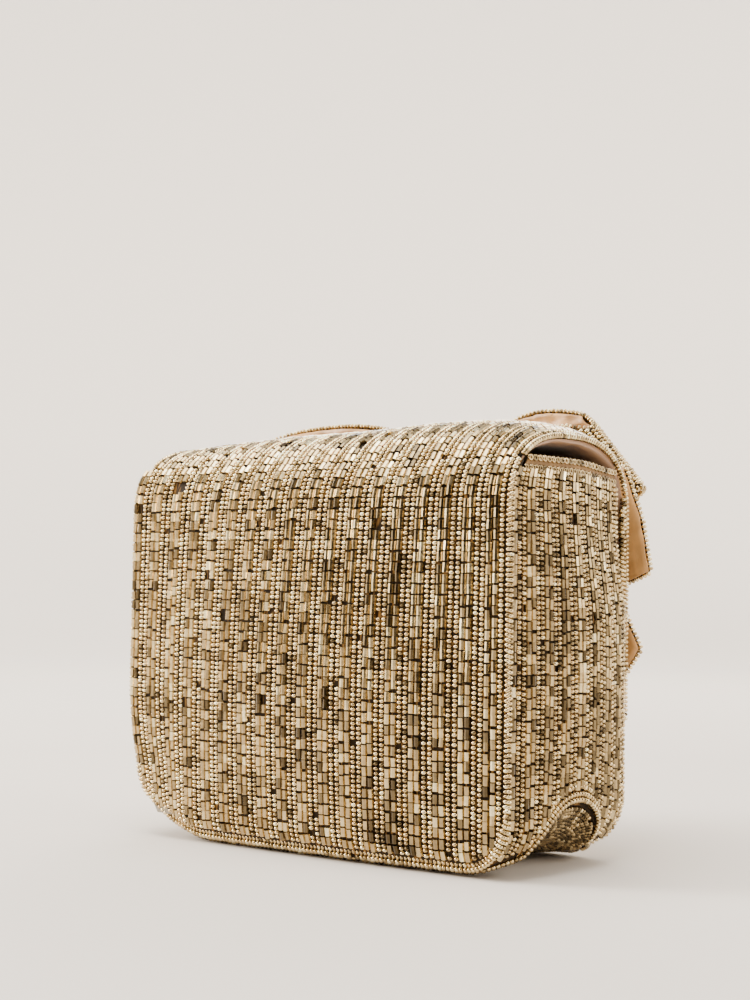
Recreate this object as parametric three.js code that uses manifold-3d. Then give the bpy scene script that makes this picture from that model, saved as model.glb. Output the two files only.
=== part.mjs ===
// Beaded evening bag: a boxy flap clutch with soft gusseted sides and a large fabric bow on the flap.
// Millimetres, +Z up. The flap drops over the front at -Y, the plain back faces +Y, the bag stands on Z = 0.
// Left is -X and right is +X, seen from the front. The origin is on the ground under the bag's middle.
import * as THREE from "three";
import { mergeVertices } from "three/addons/utils/BufferGeometryUtils.js";
import Module from "manifold-3d";

const wasm = await Module();
wasm.setup();

// Overall sizes
const WIDTH = 178; // from side seam to side seam
const BACK_Y = 38; // back seam line
const FRONT_Y = 37; // front seam line, measured towards -Y
const SIDE_TOP = 145; // top of the bead row on the side panels
const HINGE_Z = 146; // height of the fold that the flap opens on
const ARCH_Z = 126; // where back and flap start to curve over the mouth
const ARCH_RISE = 29.5; // rise of that curve at the flap's side edges
const ARCH_POWER = 2.6; // squareness of the curve
const CROWN = 5; // extra height in the middle of the flap
const FLAP_END_Z = 48; // lower edge of the flap
const FRONT_TOP = 137.5; // top of the bead row on the front panel

// Layers of the wall, from the outside in
const BEADED = 2.4; // beaded fabric
const BOARD = 1.0; // stiffening board
const SATIN = 0.6; // lining
const GAP = 0.3; // between touching pieces
const SNAP_SPACE = 3.9; // room for the magnetic snap between flap and front panel
const ROW = 2.4; // width of a single edge row of beads

// Soft shapes
const BACK_BULGE = 6.5;
const FRONT_BULGE = 4;
const SIDE_BULGE = 5.5;
const CORNER_R = 20; // lower corners of back and front, seen from behind
const TUCK = 4; // how far the lower edge pulls in
const TUCK_HEIGHT = 12;
const PLEAT_RISE = 16; // the pinched arch in the middle of each end
const PLEAT_FLARE = 7; // gentle lift of the lower seam around it
const PLEAT_SHARE = [0.3, 0.62]; // half width of its top and of its foot, as shares of the seam
const PLEAT_LENGTH = 40; // how far the pinch runs in under the bag
const SIDE_DIP = 2; // drop of a side's top edge towards the front
const FULLEST_Z = 60; // height where the walls bulge most
const SIDE_REACH = 1.3; // the sides keep their bulge this much further than back and front

// How far inner layers and edge rows stop short, in millimetres unless they are shares or radians
const LINING_DROP = 2; // lining and boards under the edge rows of the mouth
const BOARD_SHARE = 0.93; // boards across back and front
const BOARD_ROWS = [2, 9.5]; // rows that those boards span
const BOTTOM_BOARD_SHARE = [0.5, 0.85]; // along and across the bottom
const SIDE_ROW_END = 0.72; // where a side's bead row ends, from -1 in front to 1 behind
const MOUTH_ROW_SHARE = 0.96;
const FLAP_LINING_MARGIN = 1.5;
const FLAP_LINING_HEM = 1;
const FLAP_BOARD_MARGIN = 5;
const FLAP_BOARD_HEM = 8;
const FLAP_BOARD_SPLIT = [0.94, 1.03]; // end of the top board and start of the front one, about the ridge
const HINGE_GAPS = { panel: 0.012, lining: 0.03, rows: 0.06, board: 0.12 }; // radians past the hinge line

// Magnetic snap
const SNAP_R = 8;
const SNAP_Z = 63;
const SNAP_HALF = 1.5; // thickness of each half
const SNAP_PLATE = 0.8; // backing plate inside the board
const SNAP_CLEARANCE = 0.6;
const SNAP_PLATE_SINK = 0.1; // plates lie this far inside the boards' outer face

// Bow
const KNOT_Z = 118;
const KNOT_HALF = [9, 17]; // half width and half height
const KNOT_ROUND = 3;
const ROOT_U = KNOT_HALF[0] + 1; // where tails, wings and loops meet the knot
const BOW_BEADED = 2;
const BOW_SATIN = 0.5;
const BOW_OFF_FLAP = 0.5;
const LOOP_HALF_ROOT = 3.6; // half thickness of a loop at the knot
const LOOP_HALF_FULL = 6.6; // and where it is fullest
const LOOP_FULL_AT = 0.7; // share of its length where it is fullest
const LOOP_TILT = 2.6; // front layer stands higher than the back layer

const OUTER = [0, BEADED];
const STIFF = [BEADED + GAP, BEADED + GAP + BOARD];
const LINER = [STIFF[1] + GAP, STIFF[1] + GAP + SATIN];
const WALL = LINER[1];
const FLAP_FRONT_Y = FRONT_Y + SNAP_SPACE + WALL;
const ARCH_MID = (BACK_Y - FLAP_FRONT_Y) / 2;
const ARCH_HALF = (BACK_Y + FLAP_FRONT_Y) / 2;
const HINGE_ANGLE = Math.asin(((HINGE_Z - ARCH_Z) / ARCH_RISE) ** (ARCH_POWER / 2));

const lerp = THREE.MathUtils.lerp;
const clamp = THREE.MathUtils.clamp;
const smooth = (x, a, b) => THREE.MathUtils.smoothstep(x, a, b);
const signedPower = (x, p) => Math.sign(x) * Math.abs(x) ** p;
const fan = (s) => 1 - s * s;

// Share of a wall's bulge at a height; it dies out at the hinge so that the fold is straight.
function fullness(z, reach) {
  return Math.cos((Math.PI / 2) * clamp(Math.abs(z - FULLEST_Z) / reach, 0, 1));
}
const wallReach = HINGE_Z - FULLEST_Z;
const sideReach = wallReach * SIDE_REACH;

// How far a wall's lower edge pulls in at a height.
function tuck(z) {
  return TUCK * Math.max(0, 1 - z / TUCK_HEIGHT) ** 2;
}

// How far the front or back stands out at a place across the bag.
function bulge(most, x, z) {
  return most * Math.max(0, fan(x / (WIDTH / 2))) * fullness(z, wallReach);
}

// Half the width at a height, at an inset from the outer surface, with the round lower corners.
function halfWidth(z, inset) {
  if (z >= CORNER_R) return WIDTH / 2 - inset;
  const chord = (CORNER_R - inset) ** 2 - (CORNER_R - z) ** 2;
  return WIDTH / 2 - CORNER_R + Math.sqrt(Math.max(0, chord));
}

// Curve over the mouth: angle 0 is at the back, PI at the front. Returns [y, z] at an inset.
function archPoint(angle, inset) {
  const e = 2 / ARCH_POWER;
  const y = ARCH_MID + ARCH_HALF * signedPower(Math.cos(angle), e);
  const z = ARCH_Z + ARCH_RISE * signedPower(Math.sin(angle), e);
  const ny = signedPower(Math.cos(angle), 2 - e) / ARCH_HALF;
  const nz = signedPower(Math.sin(angle), 2 - e) / ARCH_RISE;
  const n = Math.hypot(ny, nz);
  return [y - (inset * ny) / n, z - (inset * nz) / n];
}

// Rows of every wall, counted from its lower edge: round lower corner, straight part, arch.
const CORNER_ROWS = 4;
const STRAIGHT_ROWS = 6;
const ARCH_ROWS = 5;
const LOW_ROWS = CORNER_ROWS + STRAIGHT_ROWS;
const ALL_ROWS = LOW_ROWS + ARCH_ROWS;
const LEAST_KNEE = 8; // least height of the first rows where a lower seam is lifted

// Height of row k of a wall that starts at low; the first rows follow the round corner at equal angles.
function rowHeight(k, low, inset, top) {
  const knee = Math.max(CORNER_R, low + LEAST_KNEE);
  if (k > CORNER_ROWS) return lerp(knee, top, (k - CORNER_ROWS) / STRAIGHT_ROWS);
  const foot = inset + GAP;
  const start = Math.acos((CORNER_R - foot) / (CORNER_R - inset));
  const z = CORNER_R - (CORNER_R - inset) * Math.cos(lerp(start, Math.PI / 2, k / CORNER_ROWS));
  return lerp(low, knee, (z - foot) / (CORNER_R - foot));
}

// Back profile at row k: up the back line, then along the arch to the hinge.
function backProfile(k, inset) {
  if (k > LOW_ROWS) return archPoint((HINGE_ANGLE * (k - LOW_ROWS)) / ARCH_ROWS, inset);
  const z = rowHeight(k, inset + GAP, inset, ARCH_Z);
  return [BACK_Y - inset - tuck(z), z];
}

// Lower seam of a side panel: a pinched arch in the middle, feet at both corners. t runs front to back.
function pleat(t) {
  return PLEAT_RISE * (1 - smooth(Math.abs(t), ...PLEAT_SHARE)) + PLEAT_FLARE * fan(t);
}

// A closed sheet between two grids of points over u, v in [0, 1].
function sheet(nu, nv, near, far) {
  const points = [];
  for (const side of [near, far])
    for (let i = 0; i <= nu; i++)
      for (let j = 0; j <= nv; j++) points.push(...side(i / nu, j / nv));
  const half = (nu + 1) * (nv + 1);
  const at = (side, i, j) => side * half + i * (nv + 1) + j;
  const faces = [];
  const quad = (a, b, c, d) => faces.push(a, b, c, a, c, d);
  for (let i = 0; i < nu; i++)
    for (let j = 0; j < nv; j++) {
      quad(at(0, i, j), at(0, i + 1, j), at(0, i + 1, j + 1), at(0, i, j + 1));
      quad(at(1, i, j), at(1, i, j + 1), at(1, i + 1, j + 1), at(1, i + 1, j));
    }
  for (let i = 0; i < nu; i++) {
    quad(at(0, i, 0), at(1, i, 0), at(1, i + 1, 0), at(0, i + 1, 0));
    quad(at(0, i, nv), at(0, i + 1, nv), at(1, i + 1, nv), at(1, i, nv));
  }
  for (let j = 0; j < nv; j++) {
    quad(at(0, 0, j), at(0, 0, j + 1), at(1, 0, j + 1), at(1, 0, j));
    quad(at(0, nu, j), at(1, nu, j), at(1, nu, j + 1), at(0, nu, j + 1));
  }
  return facingOut(points, faces);
}

// Geometry from points and faces, turned round if its faces point inwards.
function facingOut(points, faces) {
  const p = (k) => new THREE.Vector3(points[3 * k], points[3 * k + 1], points[3 * k + 2]);
  let volume = 0;
  for (let k = 0; k < faces.length; k += 3)
    volume += p(faces[k]).dot(p(faces[k + 1]).cross(p(faces[k + 2])));
  const index = [...faces];
  if (volume < 0)
    for (let k = 0; k < index.length; k += 3) [index[k + 1], index[k + 2]] = [index[k + 2], index[k + 1]];
  const geometry = new THREE.BufferGeometry();
  geometry.setAttribute("position", new THREE.Float32BufferAttribute(points, 3));
  geometry.setIndex(index);
  geometry.computeVertexNormals();
  return geometry;
}

// The same shape as a solid that can be cut.
function toSolid(geometry) {
  const bare = new THREE.BufferGeometry();
  bare.setAttribute("position", geometry.getAttribute("position"));
  if (geometry.index) bare.setIndex(geometry.index);
  const merged = mergeVertices(bare, 1e-3);
  const vertProperties = merged.attributes.position.array;
  const triVerts = new Uint32Array(merged.index.array);
  return new wasm.Manifold(new wasm.Mesh({ numProp: 3, vertProperties, triVerts }));
}

function cut(geometry, tool) {
  const mesh = toSolid(geometry).subtract(toSolid(tool)).getMesh();
  const result = new THREE.BufferGeometry();
  result.setAttribute("position", new THREE.Float32BufferAttribute(mesh.vertProperties, 3));
  result.setIndex([...mesh.triVerts]);
  return result;
}

// A disc with its axis along Y, from y to y + thickness.
function disc(radius, y, thickness, z) {
  const geometry = new THREE.CylinderGeometry(radius, radius, thickness, 32);
  return geometry.translate(0, y + thickness / 2, z);
}

// Materials
const finish = (color, roughness, metalness) =>
  new THREE.MeshStandardMaterial({ color, roughness, metalness });
const MATERIALS = {
  beading: finish(0xb3a27c, 0.35, 0.7),
  satin: finish(0xd9a676, 0.45, 0),
  lining: finish(0x2a2420, 0.6, 0),
  board: finish(0x8d8474, 0.9, 0),
  snap: finish(0xc9ad6a, 0.3, 1),
};

const bag = new THREE.Group();
function add(name, geometry, material) {
  const mesh = new THREE.Mesh(geometry, MATERIALS[material]);
  mesh.name = name;
  bag.add(mesh);
}

// Back wall at an inset, across s in [-1, 1] and up the rows k.
function backPoint(s, k, inset) {
  const [y, z] = backProfile(k, inset);
  const x = s * (halfWidth(z, inset) - GAP / 2);
  return [x, y + bulge(BACK_BULGE, x, z), z];
}

// Front wall, like the back wall but ending at a height.
function frontPoint(s, k, inset, top) {
  const z = rowHeight(k, inset + GAP, inset, top);
  const x = s * (halfWidth(z, inset) - GAP / 2);
  return [x, frontSeam(x, z, inset), z];
}

// Where the front and the back lie at a place across the bag and a height.
function frontSeam(x, z, inset) {
  return inset + tuck(z) - FRONT_Y - bulge(FRONT_BULGE, x, z);
}

function backSeam(x, z, inset) {
  return backLine(z, inset) + bulge(BACK_BULGE, x, z);
}

// Side wall on one side (-1 left, 1 right); t runs from the front seam to the back seam.
function sidePoint(side, t, k, inset, top) {
  const low = pleat(t) + inset + GAP;
  const high = top - SIDE_DIP * smooth(-t, 0, 1);
  const z = k > LOW_ROWS ? lerp(ARCH_Z, high, (k - LOW_ROWS) / ARCH_ROWS) : rowHeight(k, low, inset, ARCH_Z);
  const x = halfWidth(z, inset) + SIDE_BULGE * fan(t) * fullness(z, sideReach);
  const front = frontSeam(x, z, inset) + GAP / 2;
  const back = backSeam(x, z, inset) - GAP / 2;
  return [side * x, lerp(front, back, (t + 1) / 2), z];
}

// Distance of the plain back line behind the middle at a height.
function backLine(z, inset) {
  if (z <= ARCH_Z) return BACK_Y - inset - tuck(z);
  let low = 0;
  let high = HINGE_ANGLE * 1.5;
  for (let k = 0; k < 40; k++) {
    const mid = (low + high) / 2;
    if (archPoint(mid, inset)[1] < z) low = mid;
    else high = mid;
  }
  return archPoint(low, inset)[0];
}

// Bottom: flat in the middle, its ends drawn up to the side panels' arched lower seams.
function bottomPoint(p, t, inset) {
  const lift = pleat(t);
  const half = halfWidth(lift + inset, inset) + SIDE_BULGE * fan(t) * fullness(lift, sideReach) - GAP;
  const x = p * half;
  const rise = clamp((Math.abs(x) - half + PLEAT_LENGTH) / PLEAT_LENGTH, 0, 1) ** 2;
  const z = inset + lift * rise;
  return [x, lerp(frontSeam(x, z, inset) + GAP, backSeam(x, z, inset) - GAP, (t + 1) / 2), z];
}

// A layer of a wall as a closed sheet, and a wall's points over u, v in [0, 1].
const wall = (point, layer, nu, nv, ...rest) =>
  sheet(nu, nv, (u, v) => point(u, v, layer[0], ...rest), (u, v) => point(u, v, layer[1], ...rest));
const across = (point, rows) => (u, v, inset, ...rest) => point(2 * u - 1, rows * v, inset, ...rest);

function addBody() {
  const panelTop = FRONT_TOP - ROW - GAP;
  const sideTop = SIDE_TOP - ROW - GAP;
  add("back_panel", wall(across(backPoint, ALL_ROWS), OUTER, 10, ALL_ROWS), "beading");
  add("front_panel", wall(across(frontPoint, LOW_ROWS), OUTER, 10, LOW_ROWS, panelTop), "beading");
  add("bottom_panel", wall((u, v, d) => bottomPoint(2 * u - 1, 2 * v - 1, d), OUTER, 20, 12), "beading");
  add("lining_back", wall(across(backPoint, ALL_ROWS), LINER, 10, ALL_ROWS), "lining");
  const liningTop = panelTop - LINING_DROP;
  add("lining_front", wall(across(frontPoint, LOW_ROWS), LINER, 10, LOW_ROWS, liningTop), "lining");
  add("lining_bottom", wall((u, v, d) => bottomPoint(2 * u - 1, 2 * v - 1, d), LINER, 20, 12), "lining");
  for (const [side, name] of [[-1, "left"], [1, "right"]]) {
    const at = (u, v, d, top) => sidePoint(side, 2 * u - 1, ALL_ROWS * v, d, top);
    add(`side_panel_${name}`, wall(at, OUTER, 12, ALL_ROWS, sideTop), "beading");
    add(`lining_side_${name}`, wall(at, LINER, 12, ALL_ROWS, sideTop - LINING_DROP), "lining");
    add(`side_beading_${name}`, sideRow(side), "beading");
  }
  addBoards(liningTop);
  add("mouth_beading_front", mouthRow(), "beading");
  addSnapSocket();
}

// Boards stop short of the seams, where the fabric has to bend.
function addBoards(frontTop) {
  const inner = (point) => (u, v, inset, ...rest) =>
    point(BOARD_SHARE * (2 * u - 1), lerp(...BOARD_ROWS, v), inset, ...rest);
  add("back_board", wall(inner(backPoint), STIFF, 8, 10), "board");
  const front = wall(inner(frontPoint), STIFF, 8, 8, frontTop);
  const hole = disc(SNAP_R + SNAP_CLEARANCE, -FRONT_Y - 2 * WALL, 4 * WALL, SNAP_Z);
  add("front_board", cut(front, hole), "board");
  const [along, over] = BOTTOM_BOARD_SHARE;
  const bottom = (u, v, d) => bottomPoint(along * (2 * u - 1), over * (2 * v - 1), d);
  add("bottom_board", wall(bottom, STIFF, 8, 6), "board");
}

// Single row of beads along the top edge of a side panel.
function sideRow(side) {
  const point = (u, v, inset) => {
    const t = lerp(-1, SIDE_ROW_END, u);
    const [x, y, z] = sidePoint(side, t, ALL_ROWS, inset, SIDE_TOP - ROW);
    return [x, y, z + v * ROW];
  };
  return wall(point, OUTER, 12, 1);
}

// Single row of beads along the top edge of the front.
function mouthRow() {
  const point = (u, v, inset) => {
    const [x, y, z] = frontPoint(MOUTH_ROW_SHARE * (2 * u - 1), LOW_ROWS, inset, FRONT_TOP - ROW);
    return [x, y, z + v * ROW];
  };
  return wall(point, OUTER, 12, 1);
}

function addSnapSocket() {
  const face = frontSeam(0, SNAP_Z, 0);
  add("snap_socket", disc(SNAP_R, face - GAP - SNAP_HALF, SNAP_HALF, SNAP_Z), "snap");
  add("snap_socket_plate", disc(SNAP_R, face + STIFF[0] + SNAP_PLATE_SINK, SNAP_PLATE, SNAP_Z), "snap");
}

// Flap: over the mouth from the hinge and down the front. w in [0, 1] runs along it.
const FLAP_ARCH_SHARE = 0.55;
function flapPoint(x, w, inset, start, end) {
  const s = x / (WIDTH / 2);
  const first = HINGE_ANGLE + start;
  if (w <= FLAP_ARCH_SHARE) {
    const angle = first + ((Math.PI - first) * w) / FLAP_ARCH_SHARE;
    const [y, z] = archPoint(angle, inset);
    const crown = CROWN * fan(s) * Math.sin((Math.PI * (angle - HINGE_ANGLE)) / (Math.PI - HINGE_ANGLE));
    return [x, y - (angle > Math.PI / 2 ? bulge(FRONT_BULGE, x, z) : 0), z + crown];
  }
  const z = lerp(ARCH_Z, end, (w - FLAP_ARCH_SHARE) / (1 - FLAP_ARCH_SHARE));
  return [x, inset - FLAP_FRONT_Y - bulge(FRONT_BULGE, x, z), z];
}

const FLAP_HALF = WIDTH / 2 - ROW; // the panel without its edge rows
function addFlap() {
  const layer = (layerInset, margin, start, end, nu, nv) =>
    wall((u, v, d) => flapPoint((FLAP_HALF - margin) * (2 * u - 1), v, d, start, end), layerInset, nu, nv);
  const edge = FLAP_END_Z + ROW;
  add("flap_panel", layer(OUTER, 0, HINGE_GAPS.panel, edge, 10, 20), "beading");
  const liningEnd = edge + FLAP_LINING_HEM;
  add("flap_lining", layer(LINER, FLAP_LINING_MARGIN, HINGE_GAPS.lining, liningEnd, 10, 20), "satin");
  for (const [side, name] of [[-1, "left"], [1, "right"]]) {
    const at = (u) => side * (FLAP_HALF + GAP + u * (ROW - GAP));
    const row = (u, v, d) => flapPoint(at(u), v, d, HINGE_GAPS.rows, edge);
    add(`flap_beading_${name}`, wall(row, OUTER, 1, 20), "beading");
  }
  const hem = (u, v, d) => {
    const [x, y] = flapPoint(WIDTH / 2 * (2 * u - 1), 1, d, 0, edge);
    return [x, y, FLAP_END_Z - GAP + v * ROW];
  };
  add("flap_beading_hem", wall(hem, OUTER, 10, 1), "beading");
  addFlapBoards();
  addSnapStud();
}

function addFlapBoards() {
  const half = FLAP_HALF - FLAP_BOARD_MARGIN;
  const [topEnd, frontStart] = FLAP_BOARD_SPLIT.map((share) => share * FLAP_ARCH_SHARE);
  const top = (u, v, d) => flapPoint(half * (2 * u - 1), v * topEnd, d, HINGE_GAPS.board, FLAP_END_Z);
  add("flap_board_top", wall(top, STIFF, 8, 12), "board");
  const low = FLAP_END_Z + FLAP_BOARD_HEM;
  const front = (u, v, d) => flapPoint(half * (2 * u - 1), lerp(frontStart, 1, v), d, 0, low);
  const hole = disc(SNAP_R + SNAP_CLEARANCE, -FLAP_FRONT_Y - 2 * WALL, 4 * WALL, SNAP_Z);
  add("flap_board_front", cut(wall(front, STIFF, 8, 6), hole), "board");
}

function addSnapStud() {
  const face = WALL - FLAP_FRONT_Y - bulge(FRONT_BULGE, 0, SNAP_Z);
  add("snap_stud", disc(SNAP_R, face + GAP, SNAP_HALF, SNAP_Z), "snap");
  add("snap_stud_plate", disc(SNAP_R, face - WALL + STIFF[0] + SNAP_PLATE_SINK, SNAP_PLATE, SNAP_Z), "snap");
}

// Bow outlines in the front plane: u outwards from the middle, z up. Each edge is a quadratic curve.
const curve = (a, b, c) => (e) =>
  [0, 1].map((k) => (1 - e) ** 2 * a[k] + 2 * e * (1 - e) * b[k] + e * e * c[k]);
const BOW_SHAPES = {
  tail: {
    top: curve([ROOT_U, KNOT_Z - 6], [44, 110], [76, 107]),
    bottom: curve([ROOT_U, KNOT_Z - 16], [36, 72], [72, 50]),
    tip: [17, -1],
  },
  wing: {
    top: curve([ROOT_U, KNOT_Z + 6], [45, 142], [82, 147]),
    bottom: curve([ROOT_U, KNOT_Z - 14], [60, 90], [93, 107]),
    tip: [2, 0],
  },
};
const LOOP_SHAPES = {
  left: {
    top: curve([ROOT_U, KNOT_Z + 15], [14, 180], [66, 169]),
    bottom: curve([ROOT_U, KNOT_Z - 9], [45, 112], [86, 141]),
  },
  right: {
    top: curve([ROOT_U, KNOT_Z + 15], [18, 178], [93, 167]),
    bottom: curve([ROOT_U, KNOT_Z - 9], [48, 110], [97, 138]),
  },
};
const BOW_STACK = BOW_SATIN + GAP + BOW_BEADED + GAP;
const TAIL_Y = -FLAP_FRONT_Y - FRONT_BULGE - BOW_OFF_FLAP;
const WING_Y = TAIL_Y - BOW_STACK;
const LOOP_Y = WING_Y - BOW_STACK - LOOP_HALF_FULL;

// A flat tail or wing: its lining faces the flap and its beading faces the front.
function flatPiece(shape, side, y, thickness) {
  const point = (depth) => (u, v) => {
    const [bu, bz] = shape.bottom(u);
    const [tu, tz] = shape.top(u);
    const peak = u * u * (1 - Math.abs(2 * v - 1));
    return [
      side * (lerp(bu, tu, v) + shape.tip[0] * peak),
      y - depth,
      lerp(bz, tz, v) + shape.tip[1] * peak,
    ];
  };
  return sheet(8, 4, point(0), point(thickness));
}

// A loop's path seen from its edge: out to a round fold and back. Returns how far out, and its offset.
const LOOP_STEPS = 32;
const FOLD_START = 0.375; // the fold starts here, and ends as far before the path's end
const FOLD_LENGTH = 0.085;
function loopPath(p) {
  if (p > 0.5) {
    const [out, offset] = loopPath(1 - p);
    return [out, -offset];
  }
  if (p > FOLD_START) {
    const angle = (Math.PI / 2) * ((p - FOLD_START) / (0.5 - FOLD_START));
    return [1 - FOLD_LENGTH * (1 - Math.sin(angle)), LOOP_HALF_FULL * Math.cos(angle)];
  }
  const out = ((1 - FOLD_LENGTH) * p) / FOLD_START;
  return [out, lerp(LOOP_HALF_ROOT, LOOP_HALF_FULL, smooth(out, 0, LOOP_FULL_AT))];
}

// A loop's middle surface over p (front layer to back layer) and q (lower edge to upper edge).
function loopSurface(shape, side, p, q) {
  const [out, offset] = loopPath(p);
  const [bu, bz] = shape.bottom(out);
  const [tu, tz] = shape.top(out);
  const lean = (LOOP_TILT * q * offset) / LOOP_HALF_FULL;
  return new THREE.Vector3(side * lerp(bu, tu, q), LOOP_Y - offset, lerp(bz, tz, q) + lean * out);
}

// A layer of a loop, between two distances out from its middle surface.
function loopLayer(shape, side, from, to) {
  const point = (depth) => (u, v) => {
    const d = 1e-3; // step for the slopes of the surface
    const p = clamp(u, d, 1 - d);
    const q = clamp(v, d, 1 - d);
    const here = loopSurface(shape, side, u, v);
    const du = loopSurface(shape, side, p + d, q).sub(loopSurface(shape, side, p - d, q));
    const dv = loopSurface(shape, side, p, q + d).sub(loopSurface(shape, side, p, q - d));
    const normal = du.cross(dv).normalize().multiplyScalar(side);
    return here.addScaledVector(normal, depth).toArray();
  };
  return sheet(LOOP_STEPS, 4, point(from), point(to));
}

function addBow() {
  const outline = roundedRectangle(KNOT_HALF[0] - KNOT_ROUND, KNOT_HALF[1] - KNOT_ROUND, KNOT_ROUND);
  const depth = LOOP_Y - LOOP_HALF_FULL - TAIL_Y;
  const bevel = { bevelThickness: KNOT_ROUND, bevelSize: KNOT_ROUND, bevelSegments: 3, curveSegments: 4 };
  const knot = new THREE.ExtrudeGeometry(outline, { depth: -depth - KNOT_ROUND, ...bevel });
  knot.rotateX(Math.PI / 2).translate(0, TAIL_Y - KNOT_ROUND, KNOT_Z);
  add("bow_knot", knot, "beading");
  for (const [side, name] of [[-1, "left"], [1, "right"]]) {
    for (const [part, y] of [["tail", TAIL_Y], ["wing", WING_Y]]) {
      const shape = BOW_SHAPES[part];
      add(`bow_${part}_lining_${name}`, flatPiece(shape, side, y, BOW_SATIN), "satin");
      add(`bow_${part}_${name}`, flatPiece(shape, side, y - BOW_SATIN - GAP, BOW_BEADED), "beading");
    }
    const loop = LOOP_SHAPES[name];
    add(`bow_loop_${name}`, loopLayer(loop, side, 0, -BOW_BEADED), "beading");
    const inside = -BOW_BEADED - GAP;
    add(`bow_loop_lining_${name}`, loopLayer(loop, side, inside, inside - BOW_SATIN), "satin");
  }
}

function roundedRectangle(halfX, halfY, radius) {
  const shape = new THREE.Shape();
  shape.absarc(halfX - radius, halfY - radius, radius, 0, Math.PI / 2);
  shape.absarc(radius - halfX, halfY - radius, radius, Math.PI / 2, Math.PI);
  shape.absarc(radius - halfX, radius - halfY, radius, Math.PI, 1.5 * Math.PI);
  shape.absarc(halfX - radius, radius - halfY, radius, 1.5 * Math.PI, 2 * Math.PI);
  return shape;
}

addBody();
addFlap();
addBow();

export default bag;
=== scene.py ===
"""Hand-beaded evening bag: glass beads in strings on fabric, satin linings and a big bow on the flap."""

import math

import bpy
import numpy as np
from mathutils import Matrix, Vector


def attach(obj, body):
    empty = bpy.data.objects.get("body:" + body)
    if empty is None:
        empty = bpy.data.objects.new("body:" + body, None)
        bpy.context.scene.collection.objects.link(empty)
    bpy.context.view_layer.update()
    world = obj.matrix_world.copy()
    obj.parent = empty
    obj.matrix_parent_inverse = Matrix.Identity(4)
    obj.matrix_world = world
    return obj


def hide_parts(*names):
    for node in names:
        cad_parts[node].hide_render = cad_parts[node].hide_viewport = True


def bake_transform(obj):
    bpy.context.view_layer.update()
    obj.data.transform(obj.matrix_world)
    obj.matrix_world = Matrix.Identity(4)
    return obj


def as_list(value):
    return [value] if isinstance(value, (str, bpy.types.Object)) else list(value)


bl_info = {
    "name": "Beaded Evening Bag",
    "version": (1, 0, 0),
    "blender": (4, 5, 0),
    "location": "View3D > Sidebar > Evening Bag",
    "description": "Builds a hand-beaded flap bag with a bow around its packed frame",
    "category": "Add Mesh",
}

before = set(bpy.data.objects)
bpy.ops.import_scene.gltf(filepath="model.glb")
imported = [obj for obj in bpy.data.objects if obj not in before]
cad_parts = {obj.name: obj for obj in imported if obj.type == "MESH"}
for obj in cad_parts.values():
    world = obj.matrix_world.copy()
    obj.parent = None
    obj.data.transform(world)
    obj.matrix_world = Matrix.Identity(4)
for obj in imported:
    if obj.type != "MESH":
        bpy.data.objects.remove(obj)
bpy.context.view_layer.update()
MM = 0.001

# Sizes of the bag in millimetres, the same as its frame's.
# X is across, the flap drops at -Y and the back faces +Y.
WIDTH = 178
BACK_Y = 38
FRONT_Y = 37
SIDE_TOP = 145
HINGE_Z = 146
ARCH_Z = 126
ARCH_RISE = 29.5
ARCH_POWER = 2.6
CROWN = 5
FLAP_END_Z = 48
FRONT_TOP = 137.5
SNAP_SPACE = 3.9
WALL = 4.6
ROW = 2.4
GAP = 0.3
BEADED = 2.4
LINER_IN = 4.0
STIFF_IN = 2.6  # boards start here
FLAP_FRONT_Y = FRONT_Y + SNAP_SPACE + WALL
ARCH_MID = (BACK_Y - FLAP_FRONT_Y) / 2
ARCH_HALF = (BACK_Y + FLAP_FRONT_Y) / 2
HINGE_ANGLE = math.asin(((HINGE_Z - ARCH_Z) / ARCH_RISE) ** (ARCH_POWER / 2))
BACK_BULGE = 6.5
FRONT_BULGE = 4
SIDE_BULGE = 5.5
CORNER_R = 20
TUCK = 4
TUCK_HEIGHT = 12
PLEAT_RISE = 16
PLEAT_FLARE = 7
PLEAT_WIDTH = 0.6
PLEAT_LENGTH = 40
SIDE_DIP = 2
FULLEST_Z = 60
WALL_REACH = HINGE_Z - FULLEST_Z
SIDE_REACH = WALL_REACH * 1.3
FABRIC_IN = 1.55  # the beads' fabric lies this far inside their tops
BEAD_IN = 1.15  # and the beads' middles this far
PANEL_HALF = WIDTH / 2 - 0.35
SEAM_END = 0.985  # strings and seam rows end at this share of the way to a seam
GUSSET_RUN = 77  # way across a gusset
BOTTOM_RUN = 176  # way across the bottom
BACK_STRAIGHT = 0.84  # share of the back's strings below the arch
FLAP_ARCH_SHARE = 0.55  # share of the flap's strings over the arch

KNOT_Z = 118
KNOT_HALF = (9, 17)
BOW_BEADED = 2
BOW_SATIN = 0.5
BOW_STACK = 3.1
TAIL_Y = -50
WING_Y = -53.1
LOOP_Y = -62.8
LOOP_HALF_ROOT = 3.6
LOOP_HALF_FULL = 6.6
LOOP_FULL_AT = 0.7
LOOP_TILT = 2.6
LOOP_DROP = 3.2  # the back layer's upper edge sags this much
FOLD_START = 0.375
FOLD_LENGTH = 0.085
BOW_FABRIC = (1.25, BOW_BEADED)
BOW_LINING = (BOW_BEADED + GAP, BOW_BEADED + GAP + BOW_SATIN)
BOW_RIM_IN = 1.6  # inset of the beads round the bow's edges
LOOP_RISE = 0.15  # the loops' beads stand this much higher than other beads
LOOP_RUN = 178  # way round a loop
LOOP_END_RUN = 90  # the same for the denser strings on its fold
FLAT_RUN = 74  # way out along a wing or tail
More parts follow.
